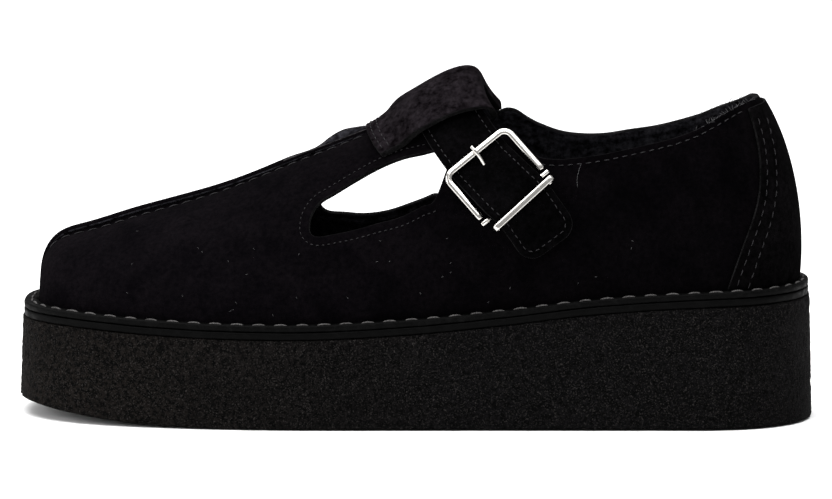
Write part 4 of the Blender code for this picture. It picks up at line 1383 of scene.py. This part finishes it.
def make_counter(materials):
    """Overlay round the back, from the welt to just under the collar."""
    turns = np.sign(np.linspace(-1, 1, 2 * COUNTER_COLUMNS + 1)) * np.abs(np.linspace(-1, 1, 2 * COUNTER_COLUMNS + 1)) ** 0.8
    heights = np.linspace(2 * GAP / QUARTER_HEIGHT, 1, COUNTER_ROWS + 1)
    points = []
    for turn in turns:
        for height in heights:
            share, side, step = counter_point(turn, height)
            points.append(rib(share, side, (step,))[0])
    points = np.array(points)
    faces = [face[::-1] for face in grid_faces(len(turns), len(heights))]
    normals = face_normals(points, faces)
    if normals[len(points) // 2][0] < 0:
        faces = [face[::-1] for face in faces]
        normals = -normals
    points = points + normals * (GAP + COUNTER_THICKNESS)
    points = groove(points, normals, COUNTER_PATHS, 0.00025, 0.0009)
    piece = hide_sheet("suede_counter", points, faces, normals, COUNTER_THICKNESS, materials)
    return finish_piece(piece, "counter_suede", "heel_counter")


def counter_paths():
    """Two stitch rows down each front edge of the counter."""
    paths = []
    for side in (OUTER, INNER):
        for inset in (COUNTER_ROW.inset, COUNTER_ROW.inset + ROW_SPACING):
            path = []
            for height in np.linspace(0.02, 0.97, 60):
                share, side, step = counter_point(float(side), height)
                path.append(surface_place(share, side, step))
            moved = offset_path(smooth_path(path, 0.0015), side * inset)
            lifted = [(point + normal * (GAP + COUNTER_THICKNESS), normal) for point, normal in moved]
            paths.append(smooth_path(lifted, 0.0006))
    return paths


COUNTER_PATHS = counter_paths()


# Strap and its loop

STRAP_COLUMNS = 110
STRAP_ROWS = 22


def strap_distances():
    turns = np.linspace(0, math.pi / 2, 12)
    tip = [STRAP_LENGTH - STRAP_CORNER * (1 - math.sin(turn)) for turn in turns]
    return list(np.linspace(0, tip[0], STRAP_COLUMNS)[:-1]) + tip


def strap_paths(inset, lift):
    """Stitch row round the strap's two sides and tip, above it by the lift."""
    start = 0.004
    side_end = STRAP_LENGTH - STRAP_CORNER
    half = STRAP_WIDTH / 2 - inset
    corner = max(STRAP_CORNER - inset, 0.001)
    plan = [(distance, -half) for distance in np.linspace(start, side_end, 60)]
    for turn in np.linspace(0, math.pi / 2, 8)[1:]:
        plan.append((side_end + corner * math.sin(turn), -half + corner * (1 - math.cos(turn))))
    plan += [(distance, -across) for distance, across in reversed(plan)]
    path = []
    for distance, across in plan:
        point, normal = strap_point(distance, across, strap_clearance(distance) + STRAP_THICKNESS + lift)
        path.append((point, normal))
    return smooth_path(path, 0.0006)


def make_strap(materials):
    points, normals = [], []
    distances = strap_distances()
    for distance in distances:
        half = strap_half_width(distance)
        lift = strap_clearance(distance) + STRAP_THICKNESS
        for k in range(STRAP_ROWS + 1):
            turn = 2 * k / STRAP_ROWS - 1
            turn = math.sin(turn * math.pi / 2) * 0.35 + turn * 0.65
            point, normal = strap_point(distance, half * turn, lift)
            points.append(point)
            normals.append(normal)
    points = np.array([tuple(point) for point in points])
    normals = np.array([tuple(normal) for normal in normals])
    faces = grid_faces(len(distances), STRAP_ROWS + 1)
    if face_normals(points, faces)[len(points) // 2].dot(normals[len(points) // 2]) < 0:
        faces = [face[::-1] for face in faces]
    points = groove(points, normals, [STRAP_PATH], 0.00025, 0.0008)
    piece = hide_sheet("suede_strap", points, faces, normals, STRAP_THICKNESS, materials)
    return finish_piece(piece, "strap_suede", "strap")


STRAP_PATH = strap_paths(STRAP_ROW.inset, 0.0)

LOOP_COLUMNS = 44
LOOP_STEPS = 9


def loop_profile():
    """The loop's rows, with more between them, on a smooth curve."""
    rows = []
    for first, second in zip(LOOP, LOOP[1:]):
        for k in range(LOOP_STEPS):
            f = k / LOOP_STEPS
            rows.append(LoopRow(*(a * (1 - f) + b * f for a, b in zip(first, second))))
    rows.append(LOOP[-1])
    values = np.array(rows)
    for _ in range(14):
        values[1:-1] = (values[:-2] + values[2:] + 2 * values[1:-1]) / 4
    return [LoopRow(*row) for row in values]


def loop_point(row, turn, inner=False):
    reach = row.inner_reach if inner else row.outer_reach
    lift = row.inner_lift if inner else row.outer_lift
    lean = turn * follow(LOOP_EDGE, "lean", row.outer_reach)
    place, normal = around(reach + LOOP_SLANT * turn * turn, lean)
    return place + normal * (LOOP_HEIGHT * lift), normal


def loop_paths():
    """Two stitch rows across the loop's sewn front end."""
    paths = []
    for reach in LOOP_SEAMS:
        path = []
        for turn in np.linspace(-0.94, 0.94, 60):
            lean = turn * follow(LOOP_EDGE, "lean", reach)
            place, normal = around(reach + LOOP_SLANT * turn * turn, lean)
            path.append((place + normal * (LOOP_HEIGHT * follow(LOOP, "outer_lift", reach)), normal))
        paths.append(smooth_path(path, 0.0006))
    return paths


LOOP_PATHS = loop_paths()


def make_loop(materials):
    rows = loop_profile()
    outer, inner = [], []
    turns = np.linspace(-1, 1, LOOP_COLUMNS + 1)
    for row in rows:
        for turn in turns:
            outer.append(tuple(loop_point(row, turn)[0]))
            inner.append(tuple(loop_point(row, turn, inner=True)[0]))
    outer = np.array(outer)
    inner = np.array(inner)
    faces = grid_faces(len(rows), len(turns))
    normals = face_normals(outer, faces)
    if normals[len(outer) // 2][2] < 0:
        faces = [face[::-1] for face in faces]
        normals = -normals
    outer = groove(outer, normals, LOOP_PATHS, 0.00030, 0.0010)
    away = outer - inner
    thickness = np.linalg.norm(away, axis=1)
    piece = hide_sheet("suede_loop", outer, faces, away / thickness[:, None], thickness, materials)
    return finish_piece(piece, "loop_suede", "strap_loop")


# Buckle

def superellipse(width, height, squareness, count):
    profile = []
    for k in range(count):
        turn = 2 * math.pi * k / count
        c, s = math.cos(turn), math.sin(turn)
        profile.append((
            width / 2 * math.copysign(abs(c) ** (2 / squareness), c),
            height / 2 * math.copysign(abs(s) ** (2 / squareness), s),
        ))
    return profile


def sweep(name, path, profile, matrix, material, up=Vector((0, 0, 1)), ends=0.35):
    """A bar of a profile along points in the buckle's frame, with domed ends."""
    points, faces = [], []
    path = [Vector(point) for point in path]
    count = len(profile)
    first = (path[0] - path[1]).normalized()
    last = (path[-1] - path[-2]).normalized()
    size = max(abs(x) for x, _ in profile)
    stops = [(path[0] + first * size * ends, 0.55), (path[0] + first * size * ends * 0.7, 0.85)]
    stops += [(point, 1.0) for point in path]
    stops += [(path[-1] + last * size * ends * 0.7, 0.85), (path[-1] + last * size * ends, 0.55)]
    for k, (place, scale) in enumerate(stops):
        before = stops[max(k - 1, 0)][0]
        after = stops[min(k + 1, len(stops) - 1)][0]
        direction = (after - before).normalized()
        sideways = up.cross(direction).normalized()
        over = direction.cross(sideways)
        for x, y in profile:
            points.append(matrix @ (place + sideways * x * scale + over * y * scale))
    faces = grid_faces(len(stops), count, closed=True)
    faces.append(tuple(reversed(range(count))))
    faces.append(tuple((len(stops) - 1) * count + k for k in range(count)))
    piece = mesh_piece(name, points, faces, [material])
    piece.data.set_sharp_from_angle(angle=math.radians(50))
    return piece


def arc(centre, radius, start, finish, count):
    """Points of an arc in the buckle's XY plane, angles in degrees."""
    angles = [math.radians(start + (finish - start) * k / count) for k in range(count + 1)]
    return [(centre[0] + radius * math.cos(a), centre[1] + radius * math.sin(a), 0.0) for a in angles]


def straight(start, finish, count=12):
    return [tuple(np.array(start) * (1 - f) + np.array(finish) * f) for f in np.linspace(0, 1, count)]


def make_frame(matrix, length, material):
    half = (BUCKLE_WIDTH - BUCKLE_WIRE) / 2
    bend = BUCKLE_CORNER
    end = length - BUCKLE_WIRE / 2 - GAP - PIN_DIAMETER / 2
    points = straight((end, -half, 0.0), (bend, -half, 0.0))[:-1]
    points += arc((bend, bend - half), bend, 270, 180, 10)
    points += straight((0.0, bend - half, 0.0), (0.0, half - bend, 0.0))[1:-1]
    points += arc((bend, half - bend), bend, 180, 90, 10)
    points += straight((bend, half, 0.0), (end, half, 0.0))[1:]
    profile = superellipse(BUCKLE_WIRE * 1.12, BUCKLE_WIRE * 0.92, 2.8, 16)
    piece = sweep("nickel_frame", points, profile, matrix, material)
    return finish_piece(piece, "polished_nickel", "buckle_frame")


def make_pin(matrix, length, material):
    half = BUCKLE_WIDTH / 2
    points = straight((length, -half, 0.0), (length, half, 0.0))
    piece = sweep("nickel_pin", points, superellipse(PIN_DIAMETER, PIN_DIAMETER, 2.0, 14), matrix, material)
    return finish_piece(piece, "polished_nickel", "buckle_bar")


def make_prong(matrix, length, material):
    """Tongue of the buckle, from an eye round the pin, under the strap and up through it to the top bar."""
    inverse = matrix.inverted()
    radius = PRONG_DIAMETER / 2
    marks = [Vector((length - PIN_DIAMETER / 2 - radius - GAP, 0.0, 0.0))]
    for row in PRONG_UNDER:
        place, _, _, normal = strap_frame(TOP_BAR_PLACE + BUCKLE_LENGTH * row.share)
        marks.append(inverse @ (place + normal * (radius + GAP * row.gaps)))
    rest = BUCKLE_WIRE / 2 + radius + GAP
    marks += [Vector((BUCKLE_WIRE * row.wires, 0.0, rest * row.height)) for row in PRONG_OVER]
    points = rounded_line(marks, 5)
    profile = superellipse(PRONG_DIAMETER * 1.15, PRONG_DIAMETER * 0.9, 2.6, 14)
    piece = sweep("nickel_prong", points, profile, matrix, material, up=Vector((0, 1, 0)))
    return finish_piece(piece, "polished_nickel", "buckle_prong")


def rounded_line(marks, passes):
    """The line through marks with its corners cut off a few times."""
    points = list(marks)
    for _ in range(passes):
        finer = [points[0]]
        for a, b in zip(points, points[1:]):
            finer += [a * 0.75 + b * 0.25, a * 0.25 + b * 0.75]
        points = finer + [points[-1]]
        if len(points) > 60:
            break
    return points


def make_keeper(material):
    """Flat metal keeper over the strap, with legs that turn in under the strap's edges."""
    distance = TOP_BAR_PLACE + BUCKLE_LENGTH + KEEPER_OFFSET
    here, along, sideways, normal = strap_frame(distance)
    top = strap_clearance(distance) + STRAP_THICKNESS + 2 * GAP + KEEPER_THICKNESS / 2
    low = strap_clearance(distance) - 2 * GAP - KEEPER_THICKNESS / 2
    half = KEEPER_WIDTH / 2 - KEEPER_THICKNESS / 2
    bend = KEEPER_THICKNESS
    matrix = axes_matrix(here, sideways, normal, sideways.cross(normal))
    right = straight((0.0, top, 0.0), (half - bend, top, 0.0), 8)
    right += arc((half - bend, top - bend), bend, 90, 0, 8)[1:]
    right += straight((half, top - bend, 0.0), (half, low + bend, 0.0), 6)[1:]
    right += arc((half - bend, low + bend), bend, 0, -90, 8)[1:]
    right += [(half - KEEPER_HOOK + KEEPER_THICKNESS / 2, low, 0.0)]
    left = [(-x, y, z) for x, y, z in reversed(right[1:])]
    profile = superellipse(KEEPER_THICKNESS, KEEPER_FACE, 3.6, 20)
    piece = sweep("nickel_keeper", left + right, profile, matrix, material)
    return finish_piece(piece, "polished_nickel", "buckle_keeper")


def make_chape(matrix, length, material):
    """Leather that wraps the pin and runs down under the strap, slit for the prong."""
    points, faces = [], []
    inverse = matrix.inverted()
    here, along, sideways, normal = strap_frame(TOP_BAR_PLACE + BUCKLE_LENGTH + CHAPE_TAIL)
    end = inverse @ (here + normal * (GAP + CHAPE_THICKNESS / 2))
    root_place, _, _, root_normal = strap_frame(TOP_BAR_PLACE + BUCKLE_LENGTH + CHAPE_TAIL * 0.3)
    root = inverse @ (root_place + root_normal * (GAP + CHAPE_THICKNESS / 2))
    middle_radius = PIN_DIAMETER / 2 + GAP + CHAPE_THICKNESS / 2
    line = []
    for turn in np.linspace(math.radians(330), math.radians(20), 40):
        line.append(Vector((length + middle_radius * math.cos(turn), 0.0, middle_radius * math.sin(turn))))
    lower = [Vector((root.x, 0.0, root.z)), Vector((end.x, 0.0, end.z))]
    wrap = rounded_line(lower[::-1] + line[:1], 3)[:-1] + line
    slit = PRONG_DIAMETER / 2 + 2 * GAP
    spans = ((-CHAPE_WIDTH / 2, -slit), (slit, CHAPE_WIDTH / 2))
    for low, high in spans:
        base = len(points)
        across = np.linspace(low, high, 9)
        for k, place in enumerate(wrap):
            before = wrap[max(k - 1, 0)]
            after = wrap[min(k + 1, len(wrap) - 1)]
            direction = (after - before).normalized()
            over = Vector((0, 1, 0)).cross(direction)
            ring = [(y, 0.5) for y in across] + [(y, -0.5) for y in across[::-1]]
            for y, f in ring:
                points.append(matrix @ (place + Vector((0, y, 0)) + over * CHAPE_THICKNESS * f))
        width = 2 * len(across)
        faces += [tuple(base + corner for corner in face) for face in grid_faces(len(wrap), width, closed=True)]
        faces.append(tuple(base + k for k in reversed(range(width))))
        faces.append(tuple(base + (len(wrap) - 1) * width + k for k in range(width)))
    piece = mesh_piece("chape_wrap", points, faces, [material])
    piece.data.set_sharp_from_angle(angle=math.radians(50))
    return finish_piece(piece, "chape_leather", "buckle_chape")


def welt_path():
    """Line of the welt's stitches on its top face, from the inner waist round the toe to the other side."""
    inset = wider(LAST_MARGIN, -WELT_ROW.inset)
    outer = [edge(share, OUTER, inset) for share in even_shares(300)]
    inner = [edge(share, INNER, inset) for share in even_shares(300)]
    line = inner[::-1] + outer[1:]
    path = [(Vector((x, y, top_height(x))), Vector((0.0, 0.0, 1.0))) for x, y in line]
    return smooth_path(path, 0.001)


LINT = Row(0.0, 0.0, 0.0009, 0.00007)
LINT_COUNT = 46
SCRATCH = Row(0.0, 0.0011, 0.0012, 0.00008)
SCRATCH_SHARE = 0.7205
SCRATCH_HEIGHTS = (0.0508, 0.0425)
FRAY = Row(0.0, 0.0, 0.0022, 0.00007)
FRAY_COUNT = 60


def lint_places():
    """Short fibres caught on the outer and inner vamp and quarters."""
    places = []
    for k in range(LINT_COUNT):
        side = OUTER if k % 3 else INNER
        share = random.uniform(0.10, 0.80)
        height = random.uniform(0.10, 0.92) * min(rim_height(max(share, CUT_FRONT), side), 0.036)
        point, normal = surface_place(share, side, step_at_height(share, side, height))
        turn = random.uniform(0, 2 * math.pi)
        along = normal.cross(Vector((math.cos(turn), 0.2, math.sin(turn)))).normalized()
        places.append((np.array(point), np.array(normal), np.array(along)))
    return places


def fray_places():
    """Fibres that stand up from the collar's edge at the back."""
    places = []
    for _ in range(FRAY_COUNT):
        side = random.choice((OUTER, INNER))
        share = random.uniform(0.86, 0.985)
        step = step_at_height(share, side, rim_height(share, side))
        point, normal = surface_place(share, side, step)
        lean = Vector((random.uniform(-1, 1), random.uniform(-1, 1), random.uniform(0.1, 0.9))).normalized()
        across = normal.cross(lean).normalized()
        places.append((np.array(point + lean * FRAY.length / 3), np.array(across), np.array(lean)))
    return places


def make_lint(material):
    """Lint, a scratch under the collar and frayed fibres, as one piece of fine strands."""
    path = []
    for height in np.linspace(*SCRATCH_HEIGHTS, 30):
        share = SCRATCH_SHARE + 0.005 * math.sin(2.2 * (height - SCRATCH_HEIGHTS[0]) / 0.0083)
        path.append(surface_place(share, OUTER, step_at_height(share, OUTER, height)))
    points, faces = [], []
    for places, row in (
        (lint_places(), LINT), (lay_out(path, SCRATCH.pitch), SCRATCH), (fray_places(), FRAY),
    ):
        more, sides = stitch_mesh(places, row, lift=0.9)
        faces += [tuple(len(points) + corner for corner in face) for face in sides]
        points += more
    return finish_piece(mesh_piece("lint", points, faces, [material]), "black_suede")


# Room

def make_floor():
    material, tree, shader = shader_material("floor_paper", grey(0.9), 0.9)
    place = object_place(tree)
    fibres = noise_factor(tree, place, 40.0, 3.0, 0.5)
    tree.links.new(ramp(tree, fibres, ((0.3, grey(0.89)), (0.7, grey(0.91)))), shader.inputs["Base Color"])
    size = 12.0
    corners = [(-size, -size, 0), (size, -size, 0), (size, size, 0), (-size, size, 0)]
    floor = mesh_piece("floor", corners, [(0, 1, 2, 3)], [material], smooth=False)
    floor.location.z = -0.0002


def area_light(name, place, aim, size, power):
    data = bpy.data.lights.new(name, "AREA")
    data.shape = "RECTANGLE"
    data.size, data.size_y = size
    data.energy = power
    light = bpy.data.objects.new(name, data)
    light.location = place
    light.rotation_euler = (Vector(aim) - Vector(place)).to_track_quat("-Z", "Y").to_euler()
    bpy.context.scene.collection.objects.link(light)


def make_lights():
    world = bpy.data.worlds.new("studio")
    world.use_nodes = True
    world.node_tree.nodes["Background"].inputs["Color"].default_value = (1.0, 1.0, 1.0, 1.0)
    world.node_tree.nodes["Background"].inputs["Strength"].default_value = 0.45
    bpy.context.scene.world = world
    area_light("overhead", (-0.15, -0.15, 1.7), (0, 0, 0.05), (2.6, 2.2), 85.0)
    area_light("toe_side", (-1.5, -0.9, 0.75), (0, 0, 0.06), (0.8, 0.8), 16.0)


def make_camera():
    data = bpy.data.cameras.new("camera")
    data.lens = LENS
    data.sensor_width = 36.0
    data.clip_end = 50.0
    camera = bpy.data.objects.new("camera", data)
    away = Vector((
        math.sin(AZIMUTH) * math.cos(ELEVATION), -math.cos(AZIMUTH) * math.cos(ELEVATION), math.sin(ELEVATION)
    ))
    camera.location = AIM + away * DISTANCE
    camera.rotation_euler = (-away).to_track_quat("-Z", "Y").to_euler()
    bpy.context.scene.collection.objects.link(camera)
    bpy.context.scene.camera = camera


def main():
    bpy.context.scene.view_settings.view_transform = "Standard"
    # The upper's nap is painted up to 1.8 times lighter towards the toe, as painted light.
    black = suede("black_suede_nap", (0.0007, 0.0006, 0.0008), (0.0020, 0.0016, 0.0020), 0.004, painted_toe_light=1.8)
    counter = suede("counter_nap", (0.0004, 0.0004, 0.0004), (0.0026, 0.0023, 0.0026), 0.003)
    # The loop's nap is the upper's black suede made several times lighter: painted light on the loop's top
    # faces.
    loop = suede("loop_nap_painted_light", (0.0009, 0.0006, 0.0008), (0.0115, 0.0094, 0.0112), 0.006, 150.0, 1500.0)
    strap = suede("strap_nap", (0.0004, 0.0004, 0.0004), (0.0020, 0.0018, 0.0021), 0.003)
    inside = suede("flesh_side", (0.0006, 0.0005, 0.0007), (0.0330, 0.0320, 0.0380), 0.006, 260.0, 1500.0)
    cut = raw_edge("raw_edge", (0.0006, 0.0006, 0.0006), (0.0095, 0.0090, 0.0096))
    pale = raw_edge("raw_edge_pale", (0.0020, 0.0019, 0.0020), (0.052, 0.049, 0.051))
    make_outsole(crepe("crepe_crumb"))
    make_midsole(smooth_band("midsole_edge", (0.0004, 0.0004, 0.0004), 0.55))
    make_welt(smooth_band("welt_edge", (0.0006, 0.0006, 0.0006), 0.60))
    make_insole(leather("sock_leather", (0.0016, 0.0015, 0.0016), 0.75))
    make_upper([black, cut, inside, pale])
    make_counter([counter, cut, inside])
    make_loop([loop, cut, inside])
    make_strap([strap, cut, inside])
    matrix, length = buckle_matrix()
    metal = nickel("polished_plate")
    make_frame(matrix, length, metal)
    make_pin(matrix, length, metal)
    make_prong(matrix, length, metal)
    make_keeper(metal)
    make_chape(matrix, length, leather("chape_hide", (0.0050, 0.0036, 0.0030), 0.6))
    grey_thread = thread("grey_thread", (0.020, 0.019, 0.019), (0.095, 0.091, 0.090))
    dark_thread = thread("dark_thread", (0.0050, 0.0048, 0.0052), (0.0250, 0.0235, 0.0260))
    stitches("welt_stitches", [welt_path()], WELT_ROW, grey_thread)
    stitches("seam_stitches", SEAM_PATHS.values(), SEAM_ROW, dark_thread)
    stitches("cut_out_stitches", CUT_PATHS.values(), CUT_ROW, dark_thread)
    stitches("collar_stitches", COLLAR_PATHS.values(), COLLAR_ROW, dark_thread)
    stitches("counter_stitches", COUNTER_PATHS, COUNTER_ROW, dark_thread)
    stitches("loop_stitches", LOOP_PATHS, LOOP_ROW, dark_thread)
    stitches("strap_stitches", [STRAP_PATH], STRAP_ROW, dark_thread)
    make_lint(thread("lint_fibre", (0.020, 0.020, 0.021), (0.090, 0.088, 0.092)))
    make_floor()
    make_lights()
    make_camera()


main()
